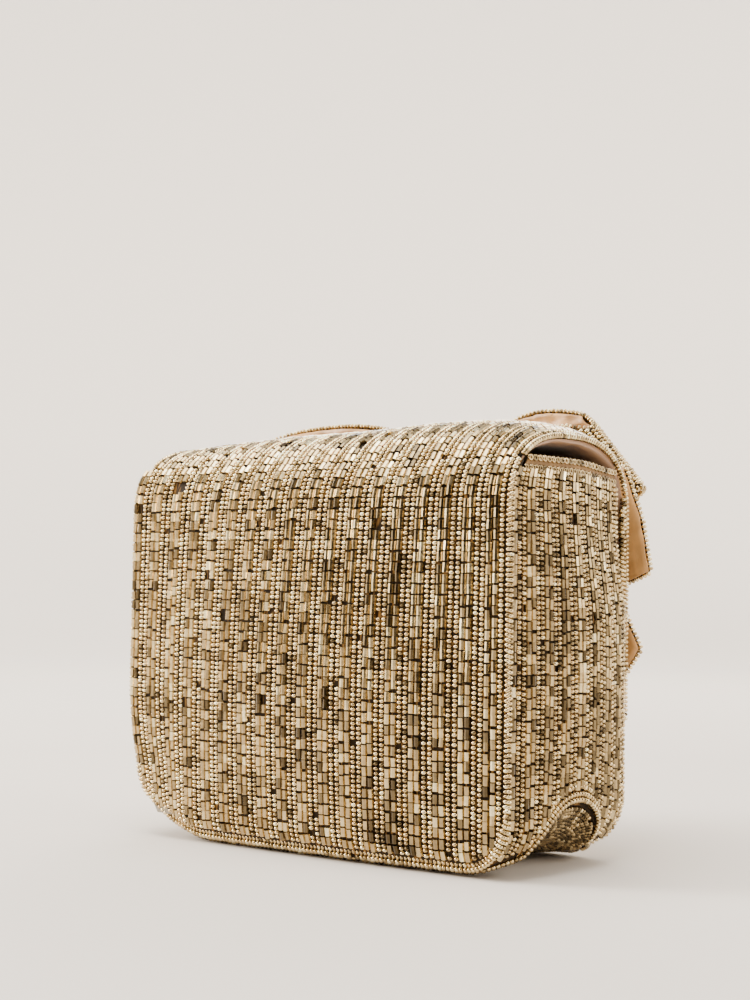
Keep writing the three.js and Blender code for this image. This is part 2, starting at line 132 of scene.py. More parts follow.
BOW_SHAPES = {
    "tail": {
        "top": ((10, 112), (44, 110), (76, 107)),
        "bottom": ((10, 102), (36, 72), (72, 50)),
        "tip": (17, -1),
        "y": TAIL_Y,
    },
    "wing": {
        "top": ((10, 124), (45, 142), (82, 147)),
        "bottom": ((10, 104), (60, 90), (93, 107)),
        "tip": (2, 0),
        "y": WING_Y,
    },
}
LOOP_SHAPES = {
    "left": {
        "top": ((10, 133), (6, 183), (64, 165)),
        "bottom": ((10, 109), (45, 112), (86, 141)),
    },
    "right": {
        "top": ((10, 133), (14, 180), (106, 163.5)),
        "bottom": ((10, 109), (48, 110), (103, 136)),
    },
}
LOOP_CUTS = {"left": (0.155, 0.0052), "right": (0.225, 0.0076)}  # flat length in m, area in m2
FLAT_CUTS = {"wing": (0.08, 0.042), "tail": (0.08, 0.06)}  # flat sizes in m
FLAT_AREA = 0.0026
SIDES = ((-1, "left"), (1, "right"))

# Edge rows. A row's numbers are in millimetres, apart from the start, which is a share of the flap.
COIL_STEP = 1.14  # pitch of an edge row for a bead one long
COIL_LENGTH = 1.6
GUSSET_TOP_ROWS = (0.6, -2.9)  # height above the gusset's top
BRAID_DROPS = (4.2, -1.0)  # the braid between them, from its lower to its upper edge
BRAID_INSETS = (1.0, 1.9)
FLAP_SIDE_ROWS = ((0.012, 1.1), (0.5, 3.1), (0.53, 4.6))  # start, inset
FLAP_HEM_ROWS = ((0.9, 1.1), (1.1, 3.0))  # height above the hem, inset
WALL_SEAM_ROWS = ((0.4, 1.0), (2.3, 0.9), (4.3, 1.0))  # height above the seam, inset
GUSSET_SEAM_ROWS = ((0.4, 0.85), (2.6, 0.8), (4.9, 1.1))
UPRIGHT_SHIFT = 0.6  # the rows on the upright seams lie this far inside them

# How bright beads are: the middle and the spread of their tone, from 0 to 1.
PANEL_TONES = {"seed": (0.5, 0.2), "bugle": (0.38, 0.19)}
BOW_TONES = {"seed": (0.5, 0.2), "bugle": (0.38, 0.22)}
EDGE_TONE = (0.44, 0.2)
RING_TONE = (0.25, 0.15)
UPRIGHT_TONE = (0.45, 0.2)
# Painted shade: tone taken off the beads of the gussets, which get less light, and of the bottom, which
# faces the floor.
GUSSET_PAINTED_SHADE = -0.13
BOTTOM_PAINTED_SHADE = -0.32
BEAD_KINDS = {  # shape and finish
    "seed": ("seed", "seed"),
    "bugle": ("bugle", "bugle"),
    "ring": ("ring", "edge"),
    "coil": ("seed", "edge"),
}
EVERYWHERE = -1e4  # a start for creases far before any cloth
CREASE_FADE = 0.3


# ---- Shape of the walls ----


def lerp(a, b, t):
    return a + (b - a) * t


def smooth(x, a, b):
    t = np.clip((x - a) / (b - a), 0, 1)
    return t * t * (3 - 2 * t)


def fan(s):
    return 1 - s * s


def signed_power(x, p):
    return np.sign(x) * np.abs(x) ** p


def fullness(z, reach):
    return np.cos(math.pi / 2 * np.clip(np.abs(z - FULLEST_Z) / reach, 0, 1))


def tuck(z):
    return TUCK * np.maximum(0, 1 - z / TUCK_HEIGHT) ** 2


def bulge(most, x, z):
    return most * np.maximum(0, fan(x / (WIDTH / 2))) * fullness(z, WALL_REACH)


def half_width(z, inset):
    chord = (CORNER_R - inset) ** 2 - (CORNER_R - z) ** 2
    corner = WIDTH / 2 - CORNER_R + np.sqrt(np.maximum(0, chord))
    return np.where(z >= CORNER_R, WIDTH / 2 - inset, corner)


def corner_height(x, inset):
    """Height of the wall's lower edge at a place across it, with the round corners."""
    past = np.maximum(0, np.abs(x) - (WIDTH / 2 - CORNER_R))
    round_r = CORNER_R - inset
    return CORNER_R - np.sqrt(np.maximum(round_r**2 - past**2, 0.0))


def arch_point(angle, inset):
    e = 2 / ARCH_POWER
    c, s = np.cos(angle), np.sin(angle)
    y = ARCH_MID + ARCH_HALF * signed_power(c, e)
    z = ARCH_Z + ARCH_RISE * signed_power(s, e)
    ny = signed_power(c, 2 - e) / ARCH_HALF
    nz = signed_power(s, 2 - e) / ARCH_RISE
    n = np.hypot(ny, nz)
    return y - inset * ny / n, z - inset * nz / n


def back_line(z, inset):
    """Distance of the plain back line behind the middle at a height."""
    z = np.asarray(z, float)
    angles = np.linspace(1e-6, HINGE_ANGLE * 1.5, 400)
    ys, zs = arch_point(angles, inset)
    arch = np.interp(z, zs, ys)
    return np.where(z <= ARCH_Z, BACK_Y - inset - tuck(z), arch)


def front_seam(x, z, inset):
    return inset + tuck(z) - FRONT_Y - bulge(FRONT_BULGE, x, z)


def back_seam(x, z, inset):
    return back_line(z, inset) + bulge(BACK_BULGE, x, z)


def pleat(t):
    """Lift of a gusset's lower seam: a round pinched arch in the middle, feet at both corners."""
    pinch = PLEAT_RISE * np.maximum(0, 1 - np.abs(t / PLEAT_WIDTH) ** 2.2) ** 0.8
    return pinch + PLEAT_FLARE * fan(t)


def settled(points):
    """Moves points of the walls as the bag has settled: fuller at two sides, one lower corner slumped."""
    x, y, z = points[..., 0], points[..., 1], points[..., 2]
    left = smooth(-x, 50, 89) * smooth(-y, -20, 37) * smooth(z, 0, 25) * (1 - smooth(z, 85, 125))
    right = smooth(x, 50, 89) * smooth(z, 25, 60) * (1 - smooth(z, 146, 158))
    slump = 1 - smooth(z, 0, 42)
    corner = smooth(x, 50, 88) * slump
    moved = np.empty_like(points)
    moved[..., 0] = x - 3.2 * left + 3.2 * right - 4.0 * corner
    moved[..., 1] = y - 1.2 * left
    moved[..., 2] = z + 8.0 * corner
    return moved


def back_surface(x, w, inset):
    """Back at x, up its strings from the lower seam to the hinge."""
    x, w = np.broadcast_arrays(np.asarray(x, float), np.asarray(w, float))
    low = np.maximum(corner_height(x, inset), inset) + GAP
    z = lerp(low, ARCH_Z, np.clip(w / BACK_STRAIGHT, 0, 1))
    angle = HINGE_ANGLE * np.clip((w - BACK_STRAIGHT) / (1 - BACK_STRAIGHT), 0, 1.05)
    arch_y, arch_z = arch_point(np.maximum(angle, 1e-6), inset)
    up = w > BACK_STRAIGHT
    y = np.where(up, arch_y, BACK_Y - inset - tuck(z))
    z = np.where(up, arch_z, z)
    return settled(np.stack([x, y + bulge(BACK_BULGE, x, z), z], -1))


def front_surface(x, w, inset, top=FRONT_TOP - ROW - GAP):
    x, w = np.broadcast_arrays(np.asarray(x, float), np.asarray(w, float))
    low = np.maximum(corner_height(x, inset), inset) + GAP
    z = lerp(low, top, w)
    return settled(np.stack([x, front_seam(x, z, inset), z], -1))


def side_surface(side):
    def surface(t, w, inset, top=SIDE_TOP - ROW - GAP):
        t, w = np.broadcast_arrays(np.asarray(t, float), np.asarray(w, float))
        low = pleat(t) + inset + GAP
        z = lerp(low, top - SIDE_DIP * smooth(-t, 0, 1), w)
        x = half_width(z, inset) + SIDE_BULGE * fan(t) * fullness(z, SIDE_REACH)
        front = front_seam(x, z, inset) + GAP / 2
        back = back_seam(x, z, inset) - GAP / 2
        return settled(np.stack([side * x, lerp(front, back, (t + 1) / 2), z], -1))

    return surface


def bottom_surface(p, t, inset):
    """Bottom: p across from -1 to 1, t from the front seam to the back seam."""
    p, t = np.broadcast_arrays(np.asarray(p, float), np.asarray(t, float))
    lift = pleat(t)
    half = half_width(lift + inset, inset) + SIDE_BULGE * fan(t) * fullness(lift, SIDE_REACH) - GAP
    x = p * half
    rise = np.clip((np.abs(x) - half + PLEAT_LENGTH) / PLEAT_LENGTH, 0, 1) ** 2
    z = inset + lift * rise
    front, back = front_seam(x, z, inset) + GAP, back_seam(x, z, inset) - GAP
    return settled(np.stack([x, lerp(front, back, (t + 1) / 2), z], -1))


def flap_surface(x, w, inset, start=0.004, end=FLAP_END_Z + ROW):
    """Flap at x, along its strings from the hinge over the mouth and down to the hem."""
    x, w = np.broadcast_arrays(np.asarray(x, float), np.asarray(w, float))
    first = HINGE_ANGLE + start
    angle = first + (math.pi - 1e-6 - first) * np.clip(w / FLAP_ARCH_SHARE, 0, 1)
    arch_y, arch_z = arch_point(angle, inset)
    domed = np.sin(math.pi * (angle - HINGE_ANGLE) / (math.pi - HINGE_ANGLE))
    plain = CROWN * fan(x / (WIDTH / 2))
    blunt = 1 - np.abs(x / (WIDTH / 2)) ** (2 + 5 * smooth(-x, 0, 40))
    full = (CROWN + 2.8 * smooth(-x, -10, 45)) * blunt
    crown = np.where(np.asarray(inset) < STIFF_IN, full, plain) * domed
    arch_y = arch_y - np.where(angle > math.pi / 2, bulge(FRONT_BULGE, x, arch_z), 0)
    z = lerp(ARCH_Z, end, np.clip((w - FLAP_ARCH_SHARE) / (1 - FLAP_ARCH_SHARE), 0, 1))
    over = w <= FLAP_ARCH_SHARE
    y = np.where(over, arch_y, inset - FLAP_FRONT_Y - bulge(FRONT_BULGE, x, z))
    return np.stack([x, y, np.where(over, arch_z + crown, z)], -1)


def quadratic(ends, e):
    a, b, c = (np.array(p, float) for p in ends)
    e = np.asarray(e, float)[..., None]
    return (1 - e) ** 2 * a + 2 * e * (1 - e) * b + e * e * c


def flat_piece(part, side):
    """A tail or wing of the bow: u outwards from the knot, v from its lower to its upper edge."""
    shape = BOW_SHAPES[part]

    def surface(u, v, inset):
        u, v = np.broadcast_arrays(np.asarray(u, float), np.asarray(v, float))
        low, high = quadratic(shape["bottom"], u), quadratic(shape["top"], u)
        peak = u * u * (1 - np.abs(2 * v - 1))
        x = lerp(low[..., 0], high[..., 0], v) + shape["tip"][0] * peak
        z = lerp(low[..., 1], high[..., 1], v) + shape["tip"][1] * peak
        wave = 0.35 * np.sin(5 * u + 3 * v) * smooth(u, 0.1, 0.5)
        y = shape["y"] - BOW_STACK + GAP + inset + wave
        return np.stack([side * x, y, z], -1)

    return surface


def loop_path(p):
    """A loop seen from its edge: out to a round fold and back."""
    q = np.minimum(p, 1 - p)
    back = np.where(p > 0.5, -1, 1)
    angle = math.pi / 2 * np.clip((q - FOLD_START) / (0.5 - FOLD_START), 0, 1)
    straight = (1 - FOLD_LENGTH) * q / FOLD_START
    folded = q > FOLD_START
    out = np.where(folded, 1 - FOLD_LENGTH * (1 - np.sin(angle)), straight)
    half = lerp(LOOP_HALF_ROOT, LOOP_HALF_FULL, smooth(straight, 0, LOOP_FULL_AT))
    return out, back * np.where(folded, LOOP_HALF_FULL * np.cos(angle), half)


def loop_surface(name, side):
    """A loop of the bow: p from its front layer round the fold to its back one, q up from its lower edge."""
    shape = LOOP_SHAPES[name]

    def middle(p, q):
        out, offset = loop_path(p)
        low, high = quadratic(shape["bottom"], out), quadratic(shape["top"], out)
        lean = LOOP_TILT * q * offset / LOOP_HALF_FULL * out
        sag = LOOP_DROP * q * smooth(-offset, 0, LOOP_HALF_FULL)
        lean = lean - sag * smooth(out, 0.1, 0.5) * (1 - smooth(out, 0.8, 1))
        x = side * lerp(low[..., 0], high[..., 0], q)
        return np.stack([x, LOOP_Y - offset, lerp(low[..., 1], high[..., 1], q) + lean], -1)

    def surface(p, q, inset):
        p, q = np.broadcast_arrays(np.asarray(p, float), np.asarray(q, float))
        step = 1e-3
        pc, qc = np.clip(p, step, 1 - step), np.clip(q, step, 1 - step)
        du = middle(pc + step, qc) - middle(pc - step, qc)
        dv = middle(pc, qc + step) - middle(pc, qc - step)
        normal = np.cross(du, dv) * side
        normal /= np.linalg.norm(normal, axis=-1, keepdims=True)
        return middle(p, q) - normal * np.asarray(inset)[..., None]

    return surface


def knot_surface(x, w, inset):
    """The knot's band: x across, w from behind at the bottom, over the front, to behind at the top."""
    x, w = np.broadcast_arrays(np.asarray(x, float), np.asarray(w, float))
    pinch = 1 - 0.10 * np.cos(x / KNOT_HALF[0] * math.pi / 2)
    angle = lerp(-math.pi * 0.98, math.pi * 0.98, w)
    half_z = KNOT_HALF[1] * pinch - inset
    front = LOOP_Y - LOOP_HALF_FULL + 0.4 * (1 - pinch) * 10
    mid_y, half_y = (front + TAIL_Y) / 2, (TAIL_Y - front) / 2 - inset
    e = 0.62
    y = mid_y - half_y * signed_power(np.cos(angle), e)
    z = KNOT_Z + half_z * signed_power(np.sin(angle), e)
    return np.stack([x, y, z], -1)


# ---- Mesh helpers ----


def ripples(points, size, rng, count=7):
    """Smooth wavy heights from -1 to 1 over points, with waves about size long."""
    total = np.zeros(points.shape[:-1])
    for _ in range(count):
        turn = rng.normal(size=3)
        turn /= np.linalg.norm(turn)
        wave = points @ turn * (2 * math.pi / size) * rng.uniform(0.6, 1.5)
        total += np.sin(wave + rng.uniform(0, 6.3))
    return total / math.sqrt(count * 2)


def new_object(name, mesh):
    found = bpy.data.objects.new(name, mesh)
    bpy.context.scene.collection.objects.link(found)
    return found


def closed_sheet(name, near, far, material):
    """A closed sheet between two grids of points in millimetres, with a UV map in metres along both ways."""
    nu, nv = near.shape[0] - 1, near.shape[1] - 1
    points = np.concatenate([near.reshape(-1, 3), far.reshape(-1, 3)]) * MM
    across = np.zeros(near.shape[:2])
    across[1:] = np.cumsum(np.linalg.norm(np.diff(near, axis=0), axis=2).mean(1, keepdims=True), 0)
    along = np.zeros(near.shape[:2])
    along[:, 1:] = np.cumsum(np.linalg.norm(np.diff(near, axis=1), axis=2), 1)
    flat = np.stack([across, along], -1).reshape(-1, 2) * MM
    flat = np.concatenate([flat, flat])
    half = (nu + 1) * (nv + 1)
    grid = np.arange(half).reshape(nu + 1, nv + 1)
    a, b, c, d = grid[:-1, :-1], grid[1:, :-1], grid[1:, 1:], grid[:-1, 1:]
    front = np.stack([a, b, c, d], -1).reshape(-1, 4)
    faces = [front, front[:, ::-1] + half]
    loop = np.concatenate([grid[:-1, 0], grid[-1, :-1], grid[:0:-1, -1], grid[0, :0:-1]])
    after = np.roll(loop, -1)
    faces.append(np.stack([after, loop, loop + half, after + half], -1))
    faces = np.concatenate(faces)
    tri = points[faces]
    volume = np.einsum("ij,ij->i", tri[:, 0], np.cross(tri[:, 1], tri[:, 2])).sum()
    volume += np.einsum("ij,ij->i", tri[:, 0], np.cross(tri[:, 2], tri[:, 3])).sum()
    if volume < 0:
        faces = faces[:, ::-1]
    mesh = bpy.data.meshes.new(name)
    mesh.from_pydata(points.tolist(), [], faces.tolist())
    smooth_faces = np.ones(len(faces), bool)
    smooth_faces[-len(loop) :] = False
    mesh.polygons.foreach_set("use_smooth", smooth_faces)
    layer = mesh.uv_layers.new(name="Cloth")
    layer.data.foreach_set("uv", flat[faces.reshape(-1)].astype(np.float32).reshape(-1))
    mesh.materials.append(material)
    mesh.update()
    return new_object(name, mesh)


def layer_grid(surface, us, vs, inset):
    u, v = np.meshgrid(us, vs, indexing="ij")
    return surface(u, v, inset)


def finish_piece(piece, body, slot, replaces=()):
    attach(piece, body)
    if replaces:
        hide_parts(*replaces)


def cloth(
    name,
    surface,
    stations,
    insets,
    finish,
    body,
    slot,
    replaced,
    flat,
    rests_on,
    held="stretched",
    area=None,
    crease=None,
    start=EVERYWHERE,
):
    """A sheet of cloth over a surface, between two insets.

    stations are its places along u and v. crease is (depth, size, seed), for wrinkles
    towards the inside, from start along u.
    """
    us, vs = stations
    near, far = (layer_grid(surface, us, vs, inset) for inset in insets)
    if crease:
        depth, size, seed = crease
        depth = depth * smooth(us, start, start + CREASE_FADE)[:, None]
        deep = ripples(near, size, np.random.default_rng(seed))
        deep = deep + 0.5 * ripples(near, size * 0.45, np.random.default_rng(seed + 1))
        into = layer_grid(surface, us, vs, insets[1] + 1) - far
        shift = into * (depth * (1 - np.abs(np.clip(deep, -1, 1))))[..., None]
        near, far = near + shift, far + shift
    made = closed_sheet(name, near, far, material(finish))
    finish_piece(made, body, slot, [replaced])
    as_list(rests_on)
    return made


# ---- Beads ----


def strings(surface, places, pitch, rng, start=0.0, end=1.0, inset=BEAD_IN, spread=0.06):
    """Places for beads on strings along v, one string at each place u.

    Returns points, directions, outward normals and string numbers.
    """
    places = np.asarray(places, float)
    v = np.linspace(start, end, 260)
    u_grid, v_grid = np.meshgrid(places, v, indexing="ij")
    line = surface(u_grid, v_grid, inset)
    run = np.zeros(line.shape[:2])
    run[:, 1:] = np.cumsum(np.linalg.norm(np.diff(line, axis=1), axis=2), 1)
    us, vs, number = [], [], []
    for k, place in enumerate(places):
        count = int(run[k, -1] // pitch)
        if count < 1:
            continue
        at = (np.arange(count) + 0.5) * run[k, -1] / count
        at = at + rng.normal(0, spread * pitch, count)
        vs.append(np.interp(at, run[k], v))
        us.append(np.full(count, place))
        number.append(np.full(count, k))
    us, vs, number = map(np.concatenate, (us, vs, number))
    return on_surface(surface, us, vs, inset) + (number,)


def on_surface(surface, us, vs, inset, step=2e-3, reach=1.0):
    """Points at u, v, with the direction along v and the outward normal."""
    points = surface(us, vs, inset)
    along = surface(us, vs + step, inset) - surface(us, vs - step, inset)
    du = step * reach
    across = surface(us + du, vs, inset) - surface(us - du, vs, inset)
    outward = np.cross(along, across)
    out_guess = surface(us, vs, inset - 0.5) - surface(us, vs, inset + 0.5)
    flip = np.einsum("ij,ij->i", outward, out_guess) < 0
    outward[flip] *= -1
    along /= np.maximum(np.linalg.norm(along, axis=1, keepdims=True), 1e-9)
    outward /= np.maximum(np.linalg.norm(outward, axis=1, keepdims=True), 1e-9)
    return points, along, outward


def row(points, outward, pitch):
    """Places for beads at a pitch along a line of points, with their outward normals."""
    points, outward = np.asarray(points, float), np.asarray(outward, float)
    run = np.concatenate([[0], np.cumsum(np.linalg.norm(np.diff(points, axis=0), axis=1))])
    count = max(1, round(run[-1] / pitch))
    at = (np.arange(count) + 0.5) * run[-1] / count
    place = np.stack([np.interp(at, run, points[:, k]) for k in range(3)], -1)
    ahead = np.stack([np.interp(at + 0.3, run, points[:, k]) for k in range(3)], -1)
    behind = np.stack([np.interp(at - 0.3, run, points[:, k]) for k in range(3)], -1)
    along = ahead - behind
    along /= np.linalg.norm(along, axis=1, keepdims=True)
    out = np.stack([np.interp(at, run, outward[:, k]) for k in range(3)], -1)
    out /= np.linalg.norm(out, axis=1, keepdims=True)
    return place, along, out, np.zeros(count, int)


def on_edge(places):
    """The same places with each bead's hole facing outwards."""
    points, along, outward, number = places
    return points, outward, along, number


def rim(surface, us, vs, inward, inset, proud):
    """Points a little outside a surface's edge, and the way out in its plane. inward steps off the edge."""
    points = surface(us, vs, inset)
    out = points - surface(us + inward[0], vs + inward[1], inset)
    out /= np.linalg.norm(out, axis=1, keepdims=True)
    return points + out * proud, out


def joined(parts):
    """Several sets of bead places as one, with their own string numbers."""
    done, base = [], 0
    for points, along, out, number in parts:
        done.append((points, along, out, number + base))
        base += int(number.max()) + 1 if len(number) else 0
    return tuple(np.concatenate([d[k] for d in done]) for k in range(4))


class NodeTree:
    """Adds nodes to a tree and links them."""

    def __init__(self, tree):
        self.tree = tree

    def fill(self, node, inputs):
        """Links a node's inputs to sockets, or sets them to plain values."""
        for key, value in inputs.items():
            if isinstance(value, bpy.types.NodeSocket):
                self.tree.links.new(value, node.inputs[key])
            else:
                node.inputs[key].default_value = value

    def add(self, kind, inputs=None, **settings):
        node = self.tree.nodes.new(kind)
        for key, value in settings.items():
            setattr(node, key, value)
        self.fill(node, inputs or {})
        return node

    def mix(self, factor, low, high, blend="MIX"):
        """A colour between two others."""
        ends = {0: factor, 6: low, 7: high}
        return self.add("ShaderNodeMix", ends, data_type="RGBA", blend_type=blend).outputs[2]

    def remap(self, value, start=(0.0, 1.0), end=(0.0, 1.0)):
        """A value moved from one range to another."""
        ranges = {"From Min": start[0], "From Max": start[1], "To Min": end[0], "To Max": end[1]}
        return self.add("ShaderNodeMapRange", {"Value": value, **ranges}).outputs["Result"]

    def noise(self, vector, scale, detail):
        noise = self.add("ShaderNodeTexNoise", {"Vector": vector, "Scale": scale, "Detail": detail})
        return noise.outputs["Fac"]

    def maths(self, operation, *values):
        return self.add("ShaderNodeMath", dict(enumerate(values)), operation=operation).outputs[0]

    def vector_maths(self, operation, inputs):
        return self.add("ShaderNodeVectorMath", inputs, operation=operation)

    def random(self, kind, inputs):
        found = self.add("FunctionNodeRandomValue", inputs, data_type=kind)
        return next(o for o in found.outputs if o.enabled)


BEAD_INPUTS = (
    ("Width", "NodeSocketFloat"),
    ("Length", "NodeSocketFloat"),
    ("Variation", "NodeSocketFloat"),
    ("Tilt", "NodeSocketFloat"),
    ("Missing", "NodeSocketFloat"),
    ("Seed", "NodeSocketInt"),
    ("Material", "NodeSocketMaterial"),
)


def bead_shape(nodes, kind):
    """One bead a unit wide and a unit long, with its hole along Z."""
    if kind == "seed":
        ball = nodes.add("GeometryNodeMeshUVSphere", {"Segments": 8, "Rings": 4, "Radius": 0.5})
        return nodes.add("GeometryNodeSetShadeSmooth", {"Geometry": ball.outputs["Mesh"]}).outputs[0]
    if kind == "bugle":
        tube = nodes.add("GeometryNodeMeshCylinder", {"Vertices": 8, "Radius": 0.5, "Depth": 1.0})
        return tube.outputs["Mesh"]
    circle, profile = (
        nodes.add("GeometryNodeCurvePrimitiveCircle", {"Resolution": sides, "Radius": radius}).outputs[0]
        for sides, radius in ((9, 0.36), (6, 0.14))
    )
    swept = nodes.add("GeometryNodeCurveToMesh", {"Curve": circle, "Profile Curve": profile}).outputs[0]
    high = nodes.add("GeometryNodeTransform", {"Geometry": swept, "Scale": (1, 1, 3.4)}).outputs[0]
    return nodes.add("GeometryNodeSetShadeSmooth", {"Geometry": high}).outputs[0]


def bead_tree(kind):
    """Geometry nodes that thread a bead on every point of a guide, along its direction and facing out."""
    name = f"{kind}_beads_on_strings"
    if name in bpy.data.node_groups:
        return bpy.data.node_groups[name]
    tree = bpy.data.node_groups.new(name, "GeometryNodeTree")
    tree.interface.new_socket("Guide", in_out="INPUT", socket_type="NodeSocketGeometry")
    for label, socket in BEAD_INPUTS:
        tree.interface.new_socket(label, in_out="INPUT", socket_type=socket)
    tree.interface.new_socket("Beads", in_out="OUTPUT", socket_type="NodeSocketGeometry")
    nodes = NodeTree(tree)
    given = nodes.add("NodeGroupInput").outputs
    seed, tilt, width = given["Seed"], given["Tilt"], given["Width"]
    absent = nodes.random("BOOLEAN", {"Probability": given["Missing"], "Seed": seed})
    kept = nodes.add(
        "GeometryNodeDeleteGeometry", {"Geometry": given["Guide"], "Selection": absent}, domain="POINT"
    )

    def named(label):
        found = nodes.add("GeometryNodeInputNamedAttribute", {"Name": label}, data_type="FLOAT_VECTOR")
        return found.outputs["Attribute"]

    align = "FunctionNodeAlignRotationToVector"
    threaded = nodes.add(align, {"Vector": named("along")}, axis="Z").outputs[0]
    outwards = {"Rotation": threaded, "Vector": named("outward")}
    facing = nodes.add(align, outwards, axis="X", pivot_axis="Z").outputs[0]
    least = nodes.maths("MULTIPLY", tilt, -1.0)
    lean = nodes.random("FLOAT_VECTOR", {"Min": least, "Max": tilt, "Seed": seed})
    turn = nodes.add("FunctionNodeEulerToRotation", {"Euler": lean}).outputs[0]
    turned = nodes.add(
        "FunctionNodeRotateRotation", {"Rotation": facing, "Rotate By": turn}, rotation_space="LOCAL"
    )
    size = nodes.add("ShaderNodeCombineXYZ", {"X": width, "Y": width, "Z": given["Length"]}).outputs[0]
    smaller = nodes.maths("SUBTRACT", 1.0, given["Variation"])
    factor = nodes.random("FLOAT", {"Min": smaller, "Max": 1.0, "Seed": seed})
    scaled = nodes.vector_maths("SCALE", {0: size, "Scale": factor})
    beads = nodes.add(
        "GeometryNodeInstanceOnPoints",
        {
            "Points": kept.outputs[0],
            "Instance": bead_shape(nodes, kind),
            "Rotation": turned.outputs[0],
            "Scale": scaled.outputs[0],
        },
    )
    real = nodes.add("GeometryNodeRealizeInstances", {"Geometry": beads.outputs[0]}).outputs[0]
    finish = nodes.add("GeometryNodeSetMaterial", {"Geometry": real, "Material": given["Material"]})
    nodes.add("NodeGroupOutput", {0: finish.outputs[0]})
    return tree


def thread_beads(name, kind, places, body, slot, seed, replaces=(), tone=PANEL_TONES["seed"]):
    """Beads on the given places as a plain mesh. tone is the middle and spread of their brightness."""
    points, along, outward, number = places
    shape, finish = BEAD_KINDS[kind]
    rng = np.random.default_rng(seed)
    guide = bpy.data.meshes.new(name + "_guide")
    guide.from_pydata((points * MM).tolist(), [], [])
    for label, values in (("along", along), ("outward", outward)):
        data = guide.attributes.new(label, "FLOAT_VECTOR", "POINT")
        data.data.foreach_set("vector", values.astype(np.float32).reshape(-1))
    string_tone = rng.normal(0, 0.05, int(number.max()) + 1)
    patch = 0.07 * ripples(points, 34, np.random.default_rng(seed + 5))
    shade = tone[0] + string_tone[number] + patch + rng.normal(0, tone[1], len(points))
    shade = shade + np.where(rng.random(len(points)) < 0.07, 0.35, 0)
    data = guide.attributes.new("tone", "FLOAT", "POINT")
    data.data.foreach_set("value", np.clip(shade, 0, 1).astype(np.float32))
    carrier = new_object(name + "_carrier", guide)
    tree = bead_tree(shape)
    modifier = carrier.modifiers.new("Beads", "NODES")
    modifier.node_group = tree
    keys = {item.name: item.identifier for item in tree.interface.items_tree if item.in_out == "INPUT"}
    given = {**bead_sizes()[kind], "Seed": seed, "Material": material(finish)}
    for label, value in given.items():
        modifier[keys[label]] = value
    graph = bpy.context.evaluated_depsgraph_get()
    mesh = bpy.data.meshes.new_from_object(carrier.evaluated_get(graph))
    bpy.data.objects.remove(carrier)
    bpy.data.meshes.remove(guide)
    for label in ("along", "outward"):
        if label in mesh.attributes:
            mesh.attributes.remove(mesh.attributes[label])
    mesh.name = name
    finish_piece(new_object(name, mesh), body, slot, replaces)


def bead_sizes():
    """The inputs of the bead trees for each kind of bead, in metres and radians."""
    beads = bpy.context.scene.evening_bag_beads
    ring, tilt, missing = beads.ring_width, beads.tilt, beads.missing
    rows = {
        "seed": (beads.seed_width, beads.seed_length, 0.14, tilt, missing),
        "bugle": (beads.bugle_width, beads.bugle_length, 0.13, tilt * 0.4, missing),
        "ring": (ring, beads.ring_length, 0.06, tilt * 0.7, 0.0),
        "coil": (ring, COIL_LENGTH * MM, 0.08, tilt * 0.7, 0.0),
    }
    labels = ("Width", "Length", "Variation", "Tilt", "Missing")
    return {kind: dict(zip(labels, row)) for kind, row in rows.items()}


def bead_length(kind):
    return bead_sizes()[kind]["Length"] / MM


def string_pitch():
    return bpy.context.scene.evening_bag_beads.pitch / MM


def panel_strings(surface, places, seed, margin, seed_only=False, shift=0):
    """Two strings of seed beads, two of bugle beads, and so on over a panel."""
    rng = np.random.default_rng(seed)
    pair = ((np.arange(len(places)) + shift) // 2) % 2
    if seed_only:
        pair[:] = 0
    shifted = places + rng.normal(0, 0.03, len(places)) * np.abs(places[1] - places[0])
    made = {}
    for which, (kind, spacing) in enumerate((("seed", 0.97), ("bugle", 1.09))):
        chosen = shifted[pair == which]
        if len(chosen):
            made[kind] = strings(surface, chosen, bead_length(kind) * spacing, rng, *margin)
    return made


def thread_strings(name, made, body, slot, seed, tones=PANEL_TONES, shade=0.0):
    """The beads of a panel's strings, one piece for each kind."""
    for kind, where in made.items():
        middle, spread = tones[kind]
        # shade lowers the tone of every bead on the panel: painted shade.
        tone = (middle + shade, spread)
        thread_beads(f"{name}_{kind}_beads", kind, where, body, slot, seed, tone=tone)


def centred(low, high, pitch):
    """Evenly spaced places from low to high at about a pitch."""
    count = max(2, round((high - low) / pitch))
    return low + (np.arange(count) + 0.5) * (high - low) / count


def within(places, keep):
    return tuple(part[keep] for part in places)


# ---- Materials ----


def group_with(name, inputs, outputs):
    tree = bpy.data.node_groups.new(name, "ShaderNodeTree")
    for label, kind, default in inputs:
        socket = tree.interface.new_socket(label, in_out="INPUT", socket_type=kind)
        if default is not None:
            socket.default_value = default
    for label, kind in outputs:
        tree.interface.new_socket(label, in_out="OUTPUT", socket_type=kind)
    return tree, NodeTree(tree)


